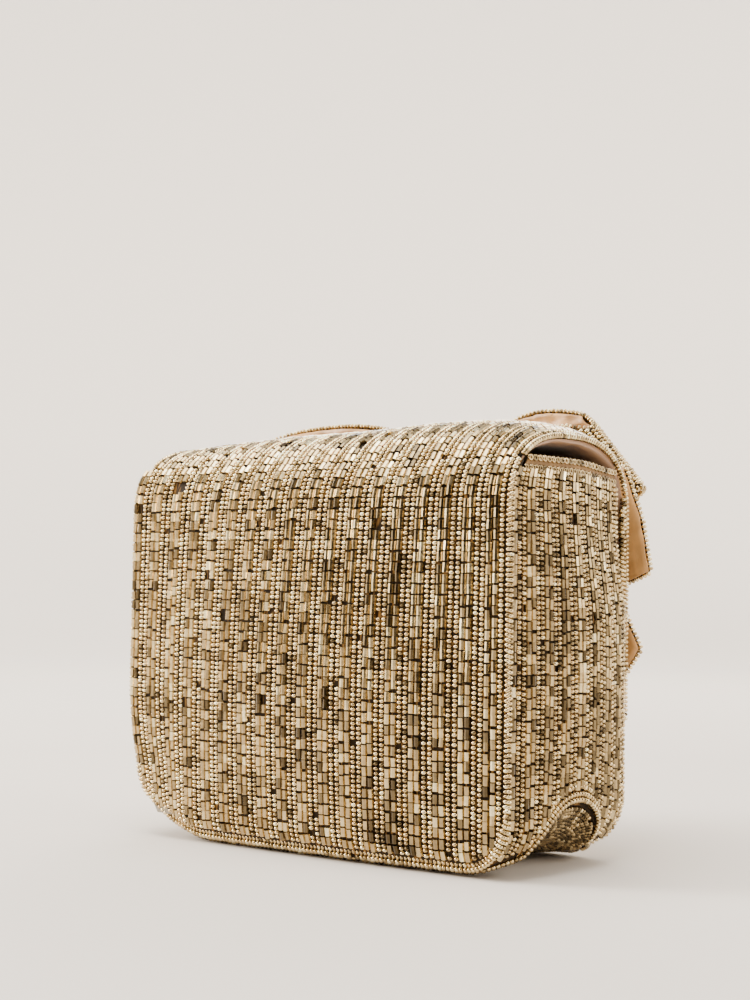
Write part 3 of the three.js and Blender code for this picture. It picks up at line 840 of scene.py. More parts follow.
def lustre_group():
    """Colour and roughness of glass beads from their tone, with fine spots of tarnish."""
    tree, nodes = group_with(
        "bead_lustre",
        (
            ("Tone", "NodeSocketFloat", 0.5),
            ("Dark", "NodeSocketColor", (0.1, 0.08, 0.05, 1)),
            ("Middle", "NodeSocketColor", (0.4, 0.33, 0.2, 1)),
            ("Bright", "NodeSocketColor", (0.9, 0.8, 0.6, 1)),
            ("Vector", "NodeSocketVector", None),
        ),
        (("Colour", "NodeSocketColor"), ("Roughness", "NodeSocketFloat")),
    )
    given = nodes.add("NodeGroupInput").outputs
    darker = nodes.mix(nodes.remap(given["Tone"], (0.0, 0.5)), given["Dark"], given["Middle"])
    colour = nodes.mix(nodes.remap(given["Tone"], (0.5, 1.0)), darker, given["Bright"])
    spots = nodes.noise(given["Vector"], 900.0, 2.0)
    worn = nodes.remap(spots, (0.35, 0.7), (0.78, 1.08))
    aged = nodes.vector_maths("SCALE", {0: colour, "Scale": worn})
    rough = nodes.remap(spots, end=(0.13, 0.30))
    nodes.add("NodeGroupOutput", {"Colour": aged.outputs[0], "Roughness": rough})
    return tree


def satin_group():
    """Fine weave of a satin cloth on UV coordinates in metres: a height and a shade."""
    tree, nodes = group_with(
        "satin_weave",
        (("Vector", "NodeSocketVector", None), ("Threads", "NodeSocketFloat", 9000.0)),
        (("Height", "NodeSocketFloat"), ("Shade", "NodeSocketFloat")),
    )
    given = nodes.add("NodeGroupInput").outputs
    drawn = nodes.vector_maths("MULTIPLY", {0: given["Vector"], 1: (1.0, 0.12, 1.0)}).outputs[0]
    fine = nodes.noise(drawn, given["Threads"], 2.0)
    slub = nodes.noise(drawn, 380.0, 3.0)
    blotch = nodes.noise(given["Vector"], 55.0, 4.0)
    height = nodes.maths("MULTIPLY_ADD", fine, 0.5, slub)
    shade = nodes.maths("MULTIPLY_ADD", slub, 0.4, blotch)
    nodes.add("NodeGroupOutput", {"Height": height, "Shade": shade})
    return tree


GROUPS = {}
MATERIALS = {}


def shader_group(name):
    if name not in GROUPS:
        GROUPS[name] = {"bead_lustre": lustre_group, "satin_weave": satin_group}[name]()
    return GROUPS[name]


def started(name):
    material = bpy.data.materials.new(name)
    material.use_nodes = True
    nodes = NodeTree(material.node_tree)
    return material, nodes, material.node_tree.nodes["Principled BSDF"]


def bead_material(name, dark, middle, bright):
    material, nodes, surface = started(name)
    inputs = {
        "Tone": nodes.add("ShaderNodeAttribute", attribute_name="tone").outputs["Fac"],
        "Vector": nodes.add("ShaderNodeTexCoord").outputs["Object"],
        "Dark": (*dark, 1),
        "Middle": (*middle, 1),
        "Bright": (*bright, 1),
    }
    lustre = nodes.add("ShaderNodeGroup", node_tree=shader_group("bead_lustre"))
    nodes.fill(lustre, inputs)
    finish = {
        "Base Color": lustre.outputs["Colour"],
        "Roughness": lustre.outputs["Roughness"],
        "Metallic": 1.0,
        "Coat Weight": 0.25,
        "Coat Roughness": 0.08,
    }
    nodes.fill(surface, finish)
    return material


def woven(nodes, strength, distance, threads=None):
    """The cloth's UV map, its weave's shade and the weave's bump."""
    cloth_map = nodes.add("ShaderNodeUVMap", uv_map="Cloth").outputs[0]
    weave = nodes.add("ShaderNodeGroup", node_tree=shader_group("satin_weave"))
    nodes.fill(weave, {"Vector": cloth_map, **({"Threads": threads} if threads else {})})
    relief = {"Height": weave.outputs["Height"], "Strength": strength, "Distance": distance}
    return cloth_map, weave.outputs["Shade"], nodes.add("ShaderNodeBump", relief).outputs[0]


def satin_material(name, light, dark, sheen=0.12, roughness=0.4):
    material, nodes, surface = started(name)
    _, shade, bump = woven(nodes, 0.35, 0.0001)
    finish = {
        "Base Color": nodes.mix(nodes.remap(shade, (0.45, 0.95)), (*dark, 1), (*light, 1)),
        "Normal": bump,
        "Roughness": roughness,
        "Sheen Weight": sheen,
        "Sheen Roughness": 0.3,
    }
    nodes.fill(surface, finish)
    return material


def ground_material():
    """Fabric that the beads are sewn on, with tan threads along and across. Its near-black is its own dark
    colour deepened as painted shade in the gaps between the beads.
    """
    material, nodes, surface = started("beading_ground")
    cloth_map, _, bump = woven(nodes, 0.6, 0.0002, 3000.0)
    stretched = nodes.vector_maths("MULTIPLY", {0: cloth_map, 1: (900.0, 110.0, 1.0)}).outputs[0]
    tan = nodes.remap(nodes.noise(stretched, 1.0, 1.0), (0.56, 0.72))
    finish = {
        # Near black: the fabric's dark colour deepened as painted shade between the beads.
        "Base Color": nodes.mix(tan, (0.02, 0.012, 0.005, 1), (0.3, 0.15, 0.04, 1)),
        "Normal": bump,
        "Roughness": 0.8,
        "Specular IOR Level": 0.15,
    }
    nodes.fill(surface, finish)
    return material


def grained_material(name, dark, light, metal, roughness, scale, stretch):
    """Cardboard fibres or brushed metal on object coordinates."""
    material, nodes, surface = started(name)
    place = nodes.add("ShaderNodeTexCoord").outputs["Object"]
    drawn = nodes.add("ShaderNodeMapping", {"Vector": place, "Scale": stretch}).outputs[0]
    grain = nodes.noise(drawn, scale, 5.0)
    relief = {"Height": grain, "Strength": 0.2, "Distance": 0.0001}
    finish = {
        "Base Color": nodes.mix(grain, (*dark, 1), (*light, 1)),
        "Roughness": nodes.remap(grain, end=(roughness * 0.75, roughness * 1.25)),
        "Normal": nodes.add("ShaderNodeBump", relief).outputs[0],
        "Metallic": metal,
    }
    nodes.fill(surface, finish)
    return material


def shaded(colour, share):
    return tuple(c * share for c in colour)


def make_material(name):
    colours = bpy.context.scene.evening_bag_colours
    dark, gold, pale = tuple(colours.bead_dark), tuple(colours.bead_gold), tuple(colours.bead_pale)
    bow, flap = tuple(colours.bow_satin), tuple(colours.flap_satin)
    even = (1, 1, 1)
    brushed = (1, 0.05, 1)
    makers = {
        "seed": (bead_material, "seed_beads", dark, gold, pale),
        "bugle": (bead_material, "bugle_beads", shaded(dark, 0.8), shaded(gold, 0.8), pale),
        "edge": (bead_material, "edge_beads", dark, gold, pale),
        "ground": (ground_material,),
        "bow_satin": (satin_material, "bow_satin", bow, shaded(bow, 0.45)),
        # The flap's satin: the lining's own pinkish beige, darkened to a brown as painted shade for the
        # flap's underside.
        "flap_satin": (satin_material, "flap_satin", flap, shaded(flap, 0.66)),
        "lining": (satin_material, "bag_lining", (0.052, 0.042, 0.034), (0.02, 0.016, 0.013), 0.2, 0.55),
        "braid": (satin_material, "edge_braid", (0.3, 0.16, 0.045), (0.13, 0.065, 0.018), 0.0, 0.7),
        "board": (
            grained_material, "card_board", (0.2, 0.17, 0.12), (0.36, 0.31, 0.24), 0.0, 0.9, 700.0, even
        ),
        "brass": (
            grained_material, "snap_brass", (0.5, 0.36, 0.12), (0.82, 0.65, 0.3), 1.0, 0.3, 900.0, brushed
        ),
    }
    make, *values = makers[name]
    return make(*values)


def material(name):
    """The bag's finishes, each made when it is first asked for."""
    if name not in MATERIALS:
        MATERIALS[name] = make_material(name)
    return MATERIALS[name]


# ---- Settings ----


class EveningBagBeads(bpy.types.PropertyGroup):
    """Sizes of the beads and how they are strung."""

    seed_width: bpy.props.FloatProperty(
        name="Seed width", description="Width of a round bead",
        default=0.0025, unit="LENGTH",
    )
    seed_length: bpy.props.FloatProperty(
        name="Seed length", description="Length of a round bead along its string",
        default=0.00176, unit="LENGTH",
    )
    bugle_width: bpy.props.FloatProperty(
        name="Bugle width", description="Width of a tube bead",
        default=0.00256, unit="LENGTH",
    )
    bugle_length: bpy.props.FloatProperty(
        name="Bugle length", description="Length of a tube bead",
        default=0.00345, unit="LENGTH",
    )
    ring_width: bpy.props.FloatProperty(
        name="Edge bead width", description="Width of a bead in an edge row",
        default=0.0027, unit="LENGTH",
    )
    ring_length: bpy.props.FloatProperty(
        name="Edge bead length", description="Length of a bead in an edge row",
        default=0.0014, unit="LENGTH",
    )
    pitch: bpy.props.FloatProperty(
        name="String pitch", description="Distance between neighbouring strings",
        default=0.00247, unit="LENGTH",
    )
    tilt: bpy.props.FloatProperty(
        name="Tilt", description="Most that a bead leans out of line",
        default=0.13, subtype="ANGLE",
    )
    missing: bpy.props.FloatProperty(
        name="Missing", description="Share of beads that are missing",
        default=0.008, subtype="FACTOR", min=0, max=1,
    )


class EveningBagColours(bpy.types.PropertyGroup):
    """Colours of beads and satins."""

    bead_dark: bpy.props.FloatVectorProperty(
        name="Dark beads", description="Colour of the darkest beads",
        default=(0.10, 0.068, 0.028), subtype="COLOR", size=3,
    )
    bead_gold: bpy.props.FloatVectorProperty(
        name="Gold beads", description="Colour of most beads",
        default=(0.68, 0.50, 0.245), subtype="COLOR", size=3,
    )
    bead_pale: bpy.props.FloatVectorProperty(
        name="Pale beads", description="Colour of the palest beads",
        default=(1.0, 0.88, 0.55), subtype="COLOR", size=3,
    )
    bow_satin: bpy.props.FloatVectorProperty(
        name="Bow satin", description="Colour of the bow's lining",
        default=(0.84, 0.44, 0.15), subtype="COLOR", size=3,
    )
    # The default is the lining's pinkish beige darkened to a brown: painted shade for the flap's underside.
    flap_satin: bpy.props.FloatVectorProperty(
        name="Flap satin", description="Colour of the flap's lining",
        default=(0.42, 0.24, 0.135), subtype="COLOR", size=3,
    )


class EveningBagStage(bpy.types.PropertyGroup):
    """Camera and light of the studio."""

    distance: bpy.props.FloatProperty(
        name="Distance", description="From the camera to the bag's middle",
        default=0.6764, unit="LENGTH",
    )
    lens: bpy.props.FloatProperty(
        name="Lens", description="Focal length of the camera",
        default=62.45, unit="CAMERA",
    )
    turn: bpy.props.FloatProperty(
        name="Turn", description="Camera's place round the bag from its front",
        default=math.radians(216.92), subtype="ANGLE",
    )
    height: bpy.props.FloatProperty(
        name="Height", description="Camera's angle above the level through the bag's middle",
        default=math.radians(-2.63), subtype="ANGLE",
    )
    roll: bpy.props.FloatProperty(
        name="Roll", description="Camera's roll about its view",
        default=math.radians(0.84), subtype="ANGLE",
    )
    light: bpy.props.FloatProperty(
        name="Light", description="Strength of the soft boxes",
        default=1.0, min=0,
    )


class BagOperator:
    """Shared by the operators that make the bag's pieces."""

    bl_options = {"REGISTER", "UNDO"}


def beaded_panel(name, surface, places, stations, seed, flat, rests_on, margin, seed_only=False, shade=0.0):
    """A wall's fabric over the body, with its strings of beads. stations are the fabric's u and v."""
    wall, _, side = name.partition("_")
    replaced = f"{wall}_panel_{side}" if side else f"{wall}_panel"
    names = ("ground", "body", "beading", replaced)
    cloth(name + "_fabric", surface, stations, (FABRIC_IN, BEADED), *names, flat, rests_on)
    made = panel_strings(surface, places, seed, margin, seed_only)
    thread_strings(name, made, "body", "beading", seed + 11, shade=shade)


def bag_lining(name, surface, stations, replaced, flat, rests_on, crease, held="stretched"):
    """The dark lining inside a wall."""
    insets = (LINER_IN, WALL)
    names = ("lining", "body", "bag_lining", replaced)
    cloth(name, surface, stations, insets, *names, flat, rests_on, held, crease=crease)


def plain_wall(name, surface, stations, seed, top, heights, crease_seed):
    """The back or front. top is where its strings end; heights, those of its fabric and lining laid flat,
    are not used.
    """
    board = [name + "_board"]
    vs = np.linspace(0, 1, stations)
    places = centred(-PANEL_HALF, PANEL_HALF, string_pitch())
    us = np.linspace(-PANEL_HALF, PANEL_HALF, 61)
    beaded_panel(name, surface, places, (us, vs), seed, (0.178, heights[0]), board, (0.027, top))
    inner = np.linspace(-PANEL_HALF + LINER_IN, PANEL_HALF - LINER_IN, 49)
    crease = (0.8, 30, crease_seed)
    bag_lining(name + "_satin", surface, (inner, vs), "lining_" + name, (0.17, heights[1]), board, crease)


class BAG_OT_back(BagOperator, bpy.types.Operator):
    """Makes the back with its strings of beads and its lining"""

    bl_idname = "evening_bag.back"
    bl_label = "Back"

    def execute(self, context):
        plain_wall("back", back_surface, 61, 21, 0.9985, (0.15, 0.148), 3)
        return {"FINISHED"}


class BAG_OT_front(BagOperator, bpy.types.Operator):
    """Makes the front with its strings of beads and its lining"""

    bl_idname = "evening_bag.front"
    bl_label = "Front"

    def execute(self, context):
        plain_wall("front", front_surface, 45, 31, 0.995, (0.135, 0.13), 4)
        return {"FINISHED"}


class BAG_OT_sides(BagOperator, bpy.types.Operator):
    """Makes both gussets with their strings of beads and linings"""

    bl_idname = "evening_bag.sides"
    bl_label = "Gussets"

    def execute(self, context):
        places = centred(-SEAM_END, SEAM_END, 2 * string_pitch() / GUSSET_RUN)
        us, vs = np.linspace(-1, 1, 41), np.linspace(0, 1, 49)
        for side, name in SIDES:
            surface = side_surface(side)
            beaded_panel(
                "side_" + name,
                surface,
                places,
                (us, vs),
                41 + side,
                (0.08, 0.142),
                ["back_fabric", "front_fabric"],
                (0.036, 0.996),
                shade=GUSSET_PAINTED_SHADE,
            )
            inner = (np.linspace(-0.97, 0.97, 33), vs)
            replaced, rests_on = "lining_side_" + name, [f"side_{name}_fabric"]
            flat, crease = (0.072, 0.138), (0.9, 26, 5)
            bag_lining(f"side_satin_{name}", surface, inner, replaced, flat, rests_on, crease)
        return {"FINISHED"}


class BAG_OT_bottom(BagOperator, bpy.types.Operator):
    """Makes the bottom with its pinched ends and its lining"""

    bl_idname = "evening_bag.bottom"
    bl_label = "Bottom"

    def execute(self, context):
        share = string_pitch() / BOTTOM_RUN
        parts = ((-SEAM_END, -0.8, 1), (-0.8, 0.8, 2), (0.8, SEAM_END, 1))
        beaded_panel(
            "bottom",
            bottom_surface,
            np.concatenate([centred(low, high, steps * share) for low, high, steps in parts]),
            (np.linspace(-1, 1, 71), np.linspace(-1, 1, 41)),
            51,
            (0.178, 0.08),
            ["bottom_board"],
            (-0.975, 0.975),
            seed_only=True,
            shade=BOTTOM_PAINTED_SHADE,
        )
        bag_lining(
            "bottom_satin",
            bottom_surface,
            (np.linspace(-0.95, 0.95, 61), np.linspace(-0.95, 0.95, 33)),
            "lining_bottom",
            (0.17, 0.074),
            ["bottom_board"],
            (0.6, 24, 6),
            "laid",
        )
        return {"FINISHED"}


class BAG_OT_flap(BagOperator, bpy.types.Operator):
    """Makes the flap with its strings of beads, its lining and the lining over the hinge"""

    bl_idname = "evening_bag.flap"
    bl_label = "Flap"

    def execute(self, context):
        half = WIDTH / 2 - ROW
        vs = np.linspace(0, 1, 81)
        boards = ["flap_board_top", "flap_board_front"]
        names = ("ground", "flap", "beading", "flap_panel")
        stations = (np.linspace(-half, half, 61), vs)
        cloth("flap_fabric", flap_surface, stations, (FABRIC_IN, BEADED), *names, (0.174, 0.165), boards)
        places = centred(-PANEL_HALF, PANEL_HALF, string_pitch())[1:-1]
        made = panel_strings(flap_surface, places, 61, (0.0, 0.998), shift=1)
        for kind, where in made.items():
            over = where[0][:, 2] > ARCH_Z
            for part, keep in (("top", over), ("front", ~over)):
                thread_strings("flap_" + part, {kind: within(where, keep)}, "flap", "beading", 62)

        def lined_surface(x, w, inset):
            """The lining, which comes up to the fabric along the flap's sides."""
            inset = np.asarray(inset) - 1.9 * smooth(np.abs(x), 82.5, half)
            return flap_surface(x, w, inset, 0.03, FLAP_END_Z + ROW + 1)

        stations = (np.linspace(-half - 0.6, half + 0.6, 61), vs)
        names = ("flap_satin", "flap", "flap_satin", "flap_lining")
        insets, crease = (LINER_IN, WALL), (0.5, 24, 7)
        cloth("flap_satin", lined_surface, stations, insets, *names, (0.171, 0.16), boards, crease=crease)
        self.hinge_strip(half - 2.5)
        return {"FINISHED"}

    def hinge_strip(self, half):
        """Satin that bends inside the fold, from the back's lining to the flap's."""
        angles = np.linspace(HINGE_ANGLE - 0.22, HINGE_ANGLE + 0.22, 25)

        def fold(x, angle, inset):
            x, angle = np.broadcast_arrays(np.asarray(x, float), np.asarray(angle, float))
            y, z = arch_point(angle, inset)
            return np.stack([x, y, z], -1)

        us = np.linspace(-half, half, 49)
        near, far = (layer_grid(fold, us, angles, WALL + past) for past in (0.25, 0.7))
        strip = closed_sheet("hinge_lining", near, far, material("lining"))
        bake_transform(strip)


class BAG_OT_edges(BagOperator, bpy.types.Operator):
    """Makes the rows of beads along the edges and seams"""

    bl_idname = "evening_bag.edges"
    bl_label = "Edge rows"

    def execute(self, context):
        self.seed_pitch = bead_length("seed")
        for side, name in SIDES:
            self.gusset(side, name)
        self.mouth()
        self.flap_rows()
        self.lower_seams()
        self.upright_seams()
        return {"FINISHED"}

    def gusset(self, side, name):
        """Two rows of rings on edge along the top of a gusset, with a strip of braid between them."""
        surface = side_surface(side)
        t = np.linspace(-0.99, 0.9, 120)
        ones = np.ones_like(t)
        out = np.tile([side * 1.0, 0.0, 0.15], (len(t), 1))
        pitch = bead_sizes()["ring"]["Width"] / MM
        tops = (surface(t, ones, 0.9, SIDE_TOP + up) for up in GUSSET_TOP_ROWS)
        rings = joined([on_edge(row(points, out, pitch)) for points in tops])
        names = ("side_edge_beads_" + name, "ring", rings, "body", "edge_beads")
        thread_beads(*names, 71 + side, ["side_beading_" + name], RING_TONE)
        outer, inner = (
            np.stack([surface(t, ones, inset, SIDE_TOP - drop) for drop in BRAID_DROPS], 1)
            for inset in BRAID_INSETS
        )
        braid = closed_sheet("side_edge_braid_" + name, outer, inner, material("braid"))
        finish_piece(braid, "body", "beading")

    def mouth(self):
        x = np.linspace(-0.955, 0.955, 200) * (WIDTH / 2)
        points = front_surface(x, np.ones_like(x), 1.2, FRONT_TOP - 1.2)
        out = np.tile([0.0, -0.35, 1.0], (len(x), 1))
        where = row(points, out, COIL_LENGTH * COIL_STEP)
        replaced = ["mouth_beading_front"]
        thread_beads("mouth_edge_beads", "coil", where, "body", "edge_beads", 75, replaced, EDGE_TONE)

    def flap_rows(self):
        """Beads wound round the flap's sides and hem, and rows that cover the side of its front."""
        half = WIDTH / 2 - ROW / 2 + GAP
        for side, name in SIDES:
            rows = []
            for start, inset in FLAP_SIDE_ROWS:
                w = np.linspace(start, 1, 220)
                points, _, out = on_surface(flap_surface, np.full_like(w, side * half), w, inset)
                rows.append(row(points, out, COIL_LENGTH))
            self.coil("flap_edge_beads_" + name, rows, 81 + side, "flap_beading_" + name)
        x = np.linspace(-WIDTH / 2 + 1, WIDTH / 2 - 1, 200)
        out = np.tile([0.0, -1.0, 0.0], (len(x), 1))
        rows = []
        for up, inset in FLAP_HEM_ROWS:
            points = flap_surface(x, np.ones_like(x), inset, end=FLAP_END_Z + up)
            rows.append(row(points, out, COIL_LENGTH))
        self.coil("flap_hem_beads", rows, 85, "flap_beading_hem")

    def coil(self, name, rows, seed, replaced):
        thread_beads(name, "coil", joined(rows), "flap", "edge_beads", seed, [replaced], EDGE_TONE)

    def lower_seams(self):
        """Rows that cover the seams between the walls and the bottom."""
        x = np.linspace(-PANEL_HALF, PANEL_HALF, 260)
        t = np.linspace(-SEAM_END, SEAM_END, 120)
        lines = [(wall, x, 0.004, at) for at in WALL_SEAM_ROWS for wall in (back_surface, front_surface)]
        lines += [(side_surface(side), t, 0.006, at) for side, _ in SIDES for at in GUSSET_SEAM_ROWS]
        rows = []
        for surface, across, low, (lift, inset) in lines:
            points, _, out = on_surface(surface, across, np.full_like(across, low), inset)
            points[:, 2] += lift
            rows.append(row(points, out, self.seed_pitch))
        thread_beads("seam_beads", "seed", joined(rows), "body", "beading", 91)

    def upright_seams(self):
        """Rows that cover the seams between gussets, back and front."""
        w = np.linspace(0.05, 0.985, 160)
        rows = []
        for side, _ in SIDES:
            for t in (1.0, -1.0):
                points = side_surface(side)(np.full_like(w, t), w, 0.75)
                points[:, 1] -= t * UPRIGHT_SHIFT
                out = np.tile([side * 1.0, t, 0.0], (len(w), 1))
                rows.append(row(points, out, self.seed_pitch))
        thread_beads("upright_seam_beads", "seed", joined(rows), "body", "beading", 93, tone=UPRIGHT_TONE)


class BAG_OT_bow(BagOperator, bpy.types.Operator):
    """Makes the bow: loops, wings and tails with satin linings, and the knot"""

    bl_idname = "evening_bag.bow"
    bl_label = "Bow"

    def execute(self, context):
        self.pitch = string_pitch()
        for side, name in SIDES:
            self.loop(side, name)
            for part in ("wing", "tail"):
                self.flat(part, side, name)
        self.knot()
        return {"FINISHED"}

    def fabric(self, name, surface, stations, replaced, **cut):
        names = ("ground", "flap", "bow_beading", replaced)
        return cloth(name, surface, stations, BOW_FABRIC, *names, **cut)

    def satin(self, name, surface, stations, replaced, **cut):
        names = ("bow_satin", "flap", "bow_satin", replaced)
        cloth(name, surface, stations, BOW_LINING, *names, **cut)

    def beads(self, name, surface, places, margin, seed, seed_only=False):
        made = panel_strings(surface, places, seed, margin, seed_only)
        thread_strings(name, made, "flap", "bow_beading", seed, BOW_TONES)

    def rims(self, name, surface, edges, proud, seed):
        """A row of beads along each edge. edges are (u, v, a step inwards)."""
        rows = []
        for us, vs, step in edges:
            points, out = rim(surface, us, vs, step, BOW_RIM_IN, proud)
            rows.append(row(points, out, COIL_LENGTH * COIL_STEP))
        thread_beads(name, "coil", joined(rows), "flap", "bow_beading", seed, tone=EDGE_TONE)

    def loop(self, side, name):
        surface = loop_surface(name, side)

        def raised(p, q, inset):
            return surface(p, q, inset - LOOP_RISE)

        long, area = LOOP_CUTS[name]
        p, q = np.linspace(0, 1, 97), np.linspace(0, 1, 17)
        base = self.fabric(
            f"bow_loop_fabric_{name}",
            surface,
            (p, q),
            "bow_loop_" + name,
            flat=(long, 0.042),
            held="folded",
            rests_on=["bow_knot_fabric"],
            area=area,
        )
        share = self.pitch / LOOP_RUN
        layers = np.concatenate([centred(0.01, FOLD_START, share), centred(1 - FOLD_START, 0.99, share)])
        fold = centred(FOLD_START, 1 - FOLD_START, self.pitch / LOOP_END_RUN)
        self.beads(f"bow_loop_{name}", raised, layers, (0.03, 0.97), 101 + side)
        self.beads(f"bow_fold_{name}", raised, fold, (0.03, 0.97), 105 + side, seed_only=True)
        line = np.linspace(0.003, 0.997, 400)
        edges = [(line, np.full_like(line, edge), (0, step)) for edge, step in ((0.0, 0.02), (1.0, -0.02))]
        self.rims(f"bow_loop_edge_beads_{name}", surface, edges, 0.4, 111 + side)
        self.satin(
            f"bow_loop_satin_{name}",
            surface,
            (p, np.linspace(0.02, 0.98, 33)),
            "bow_loop_lining_" + name,
            flat=(long - 0.005, 0.042),
            held="folded",
            rests_on=[base.name],
            area=area,
            crease=(2.0, 12, 8),
        )

    def flat(self, part, side, name):
        """A wing or a tail."""
        surface = flat_piece(part, side)
        stations = (np.linspace(0, 1, 41), np.linspace(0, 1, 25))
        cut = {"flat": FLAT_CUTS[part], "held": "hung", "area": FLAT_AREA}
        label, replaced = f"bow_{part}_fabric_{name}", f"bow_{part}_{name}"
        base = self.fabric(label, surface, stations, replaced, rests_on=["bow_knot_fabric"], **cut)
        places = centred(0.03, 0.97, self.pitch / FLAT_RUN)
        self.beads(f"bow_{part}_{name}", surface, places, (0.07, 0.93), 121 + side)
        line, end = np.linspace(0.02, 1, 120), np.linspace(0.0, 1.0, 60)
        edges = (
            (line, line * 0, (0, 0.02)),
            (end * 0 + 1, end, (-0.02, 0)),
            (line, line * 0 + 1, (0, -0.02)),
        )
        self.rims(f"bow_{part}_edge_beads_{name}", surface, edges, 0.35, 131 + side)
        cut = {**cut, "rests_on": [base.name], "crease": (1.0, 17, 9), "start": 0.55}
        self.satin(f"bow_{part}_satin_{name}", surface, stations, f"bow_{part}_lining_{name}", **cut)

    def knot(self):
        half = KNOT_HALF[0]
        stations = (np.linspace(-half, half, 25), np.linspace(0, 1, 81))
        cut = {"flat": (0.019, 0.09), "held": "folded", "rests_on": ["flap_fabric"]}
        self.fabric("bow_knot_fabric", knot_surface, stations, "bow_knot", **cut)
        self.beads("bow_knot", knot_surface, centred(-half + 0.5, half - 0.5, 2.4), (0.02, 0.98), 141)


class BAG_OT_hardware(BagOperator, bpy.types.Operator):
    """Gives the boards and the magnetic snap their card and brass"""

    bl_idname = "evening_bag.hardware"
    bl_label = "Boards and snap"

    def execute(self, context):
        for name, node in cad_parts.items():
            kind = "board" if "board" in name else "brass" if name.startswith("snap") else None
            if kind:
                node.data.materials.clear()
                node.data.materials.append(material(kind))
        return {"FINISHED"}


# Soft boxes: name, place, what it points at and its size in metres, and its power in watts.
SOFT_BOXES = (
    ("left_box", (1.2, 0.75, 0.7), (0, 0, 0.08), (0.5, 0.9), 43),
    ("right_box", (-1.3, -0.35, 0.75), (0, 0, 0.08), (0.35, 0.9), 7),
    ("top_box", (0.1, 0.2, 1.4), (0, 0, 0.05), (1.1, 0.8), 32),
    ("back_box", (0.4, -1.1, 0.95), (0, 0, 0.08), (1.2, 0.6), 16),
)
FLAG_RADIUS = 1.15
FLAG_HALF_ANGLE = math.radians(36)
FLAG_HEIGHTS = (0.02, 1.0)
FLAG_PARTS = 24
FLOOR_RADII = (0, 0.3, 0.6, 0.9, 1.2, 1.5, 1.8, 2.0, 2.12, 2.2, 2.24, 2.26, 2.27)
FLOOR_HEIGHTS = (0, 0, 0, 0, 0, 0, 0.02, 0.09, 0.2, 0.36, 0.6, 1.0, 1.9)
FLOOR_TURNS = 64
FLOOR_DROP = 0.0003  # the floor lies this far under the bag
VIEW_SIDE, VIEW_HEIGHT = 0.00163, 0.13327  # the middle of the view, to the side of the bag's and up


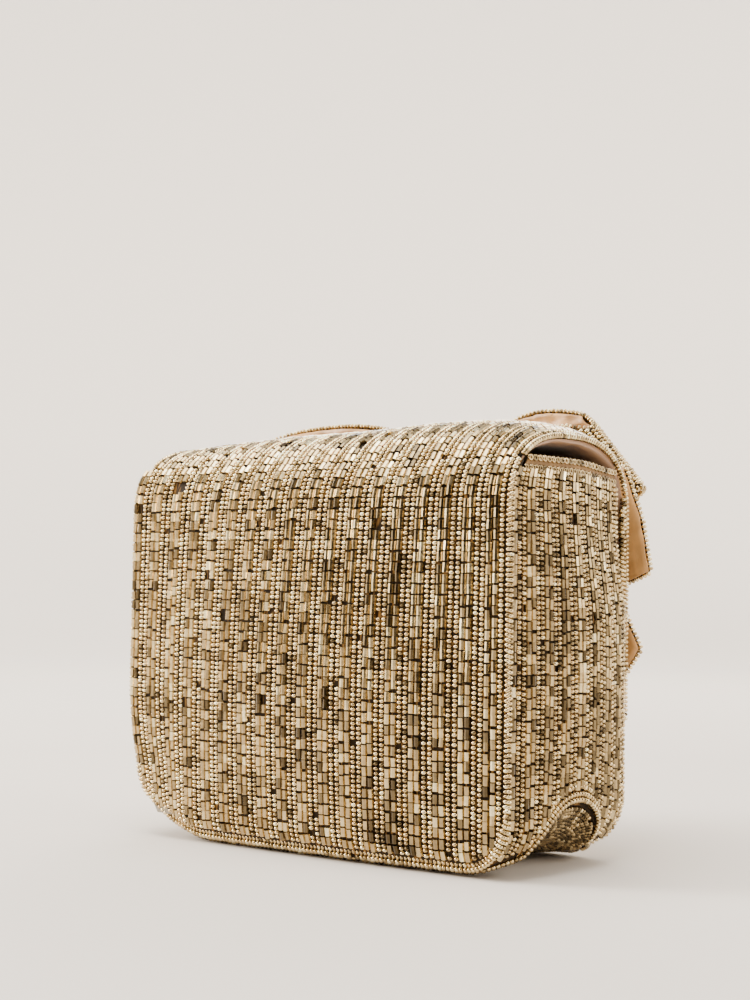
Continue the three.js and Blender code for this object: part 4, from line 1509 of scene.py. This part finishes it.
class BAG_OT_stage(BagOperator, bpy.types.Operator):
    """Makes the floor, the lights and the camera"""

    bl_idname = "evening_bag.stage"
    bl_label = "Stage"

    def execute(self, context):
        stage = context.scene.evening_bag_stage
        self.floor()
        self.world(context)
        for name, place, target, size, power in SOFT_BOXES:
            self.light(name, place, target, size, power * stage.light)
        self.flag(stage.turn)
        self.camera(context, stage)
        return {"FINISHED"}

    def flag(self, turn):
        """A black cloth behind the camera, which gives the metal beads dark middles."""
        angle = np.linspace(turn - FLAG_HALF_ANGLE, turn + FLAG_HALF_ANGLE, FLAG_PARTS + 1)
        across = [(FLAG_RADIUS * math.sin(a), -FLAG_RADIUS * math.cos(a)) for a in angle]
        points = [(x, y, z) for z in FLAG_HEIGHTS for x, y in across]
        faces = [(k, k + 1, k + FLAG_PARTS + 2, k + FLAG_PARTS + 1) for k in range(FLAG_PARTS)]
        mesh = bpy.data.meshes.new("black_flag")
        mesh.from_pydata(points, [], faces)
        cloth_paint, nodes, surface = started("flag_cloth")
        finish = {"Base Color": (0.012, 0.011, 0.01, 1), "Roughness": 1.0, "Specular IOR Level": 0.0}
        nodes.fill(surface, finish)
        mesh.materials.append(cloth_paint)
        made = new_object("black_flag", mesh)
        made.visible_camera = False

    def floor(self):
        """A pale floor that curves up far around the bag."""
        turns = FLOOR_TURNS
        angle = np.arange(turns) * 2 * math.pi / turns
        points = [(0, 0, -FLOOR_DROP)]
        for r, z in zip(FLOOR_RADII[1:], FLOOR_HEIGHTS[1:]):
            points += [(r * math.cos(a), r * math.sin(a), z - FLOOR_DROP) for a in angle]
        after = [(k + 1) % turns for k in range(turns)]
        faces = [(0, 1 + k, 1 + after[k]) for k in range(turns)]
        for ring in range(len(FLOOR_RADII) - 2):
            base, up = 1 + ring * turns, 1 + (ring + 1) * turns
            faces += [(base + k, up + k, up + after[k], base + after[k]) for k in range(turns)]
        mesh = bpy.data.meshes.new("studio_floor")
        mesh.from_pydata(points, [], faces)
        mesh.polygons.foreach_set("use_smooth", [True] * len(faces))
        mesh.update()
        mesh.materials.append(self.paper())
        new_object("studio_floor", mesh)

    def paper(self):
        """The floor's paper, with painted light: paler and glowing a little far from the bag, which evens
        out the lamps' falloff.
        """
        paper, nodes, surface = started("studio_paper")
        place = nodes.add("ShaderNodeTexCoord").outputs["Object"]
        speck = nodes.mix(nodes.noise(place, 300.0, 2.0), (0.98, 0.98, 0.98, 1), (1.0, 1.0, 1.0, 1))
        reach = nodes.vector_maths("LENGTH", {0: place}).outputs["Value"]
        # Painted light: the paper's colour pales and its glow grows with distance from the bag.
        far = nodes.remap(reach, (0.4, 2.2))
        tone = nodes.mix(far, (0.69, 0.63, 0.56, 1), (0.93, 0.87, 0.79, 1))
        finish = {
            "Base Color": nodes.mix(1.0, tone, speck, "MULTIPLY"),
            "Emission Color": nodes.mix(far, (0, 0, 0, 1), (1.0, 0.93, 0.84, 1)),
            "Emission Strength": 0.6,
            "Roughness": 0.9,
            "Specular IOR Level": 0.1,
        }
        nodes.fill(surface, finish)
        return paper

    def world(self, context):
        world = bpy.data.worlds.new("studio_world")
        context.scene.world = world
        world.use_nodes = True
        sky = world.node_tree.nodes["Background"]
        sky.inputs["Color"].default_value = (1.0, 0.985, 0.965, 1)
        sky.inputs["Strength"].default_value = 0.74

    def light(self, name, place, target, size, power):
        data = bpy.data.lights.new(name, "AREA")
        data.shape = "RECTANGLE"
        data.size, data.size_y = size
        data.energy = power
        data.color = (1.0, 0.98, 0.95)
        lamp = new_object(name, data)
        lamp.location = place
        lamp.rotation_euler = (Vector(target) - Vector(place)).to_track_quat("-Z", "Y").to_euler()
        lamp.visible_camera = False

    def camera(self, context, stage):
        turn, rise = stage.turn, stage.height
        back = Vector((math.sin(turn) * math.cos(rise), -math.cos(turn) * math.cos(rise), math.sin(rise)))
        level = Vector((math.cos(turn), math.sin(turn), 0))
        up = back.cross(level)
        middle = level * VIEW_SIDE + Vector((0, 0, VIEW_HEIGHT))
        right = level * math.cos(stage.roll) + up * math.sin(stage.roll)
        over = up * math.cos(stage.roll) - level * math.sin(stage.roll)
        data = bpy.data.cameras.new("camera")
        data.sensor_fit = "VERTICAL"
        data.sensor_height = 36
        data.lens = stage.lens
        data.clip_start = 0.01
        camera = new_object("camera", data)
        turned = Matrix((right, over, back)).transposed().to_4x4()
        camera.matrix_world = Matrix.Translation(middle + back * stage.distance) @ turned
        context.scene.camera = camera


PIECES = (
    BAG_OT_stage,
    BAG_OT_back,
    BAG_OT_front,
    BAG_OT_sides,
    BAG_OT_bottom,
    BAG_OT_flap,
    BAG_OT_edges,
    BAG_OT_bow,
    BAG_OT_hardware,
)
SETTINGS = (
    ("evening_bag_beads", EveningBagBeads),
    ("evening_bag_colours", EveningBagColours),
    ("evening_bag_stage", EveningBagStage),
)


class BAG_PT_panel(bpy.types.Panel):
    """Lists the bag's settings and pieces"""

    bl_idname = "BAG_PT_panel"
    bl_label = "Evening Bag"
    bl_space_type = "VIEW_3D"
    bl_region_type = "UI"
    bl_category = "Evening Bag"

    def draw(self, context):
        for name, kind in SETTINGS:
            box = self.layout.box()
            for setting in kind.__annotations__:
                box.prop(getattr(context.scene, name), setting)
        for operator in PIECES:
            self.layout.operator(operator.bl_idname)


def register():
    for _, kind in SETTINGS:
        bpy.utils.register_class(kind)
    for operator in PIECES:
        bpy.utils.register_class(operator)
    bpy.utils.register_class(BAG_PT_panel)
    for name, kind in SETTINGS:
        setattr(bpy.types.Scene, name, bpy.props.PointerProperty(type=kind))


def unregister():
    for name, _ in SETTINGS:
        delattr(bpy.types.Scene, name)
    bpy.utils.unregister_class(BAG_PT_panel)
    for operator in reversed(PIECES):
        bpy.utils.unregister_class(operator)
    for _, kind in reversed(SETTINGS):
        bpy.utils.unregister_class(kind)


def main():
    register()
    bpy.ops.evening_bag.stage()
    bpy.ops.evening_bag.back()
    bpy.ops.evening_bag.front()
    bpy.ops.evening_bag.sides()
    bpy.ops.evening_bag.bottom()
    bpy.ops.evening_bag.flap()
    bpy.ops.evening_bag.edges()
    bpy.ops.evening_bag.bow()
    bpy.ops.evening_bag.hardware()


if __name__ == "__main__":
    main()
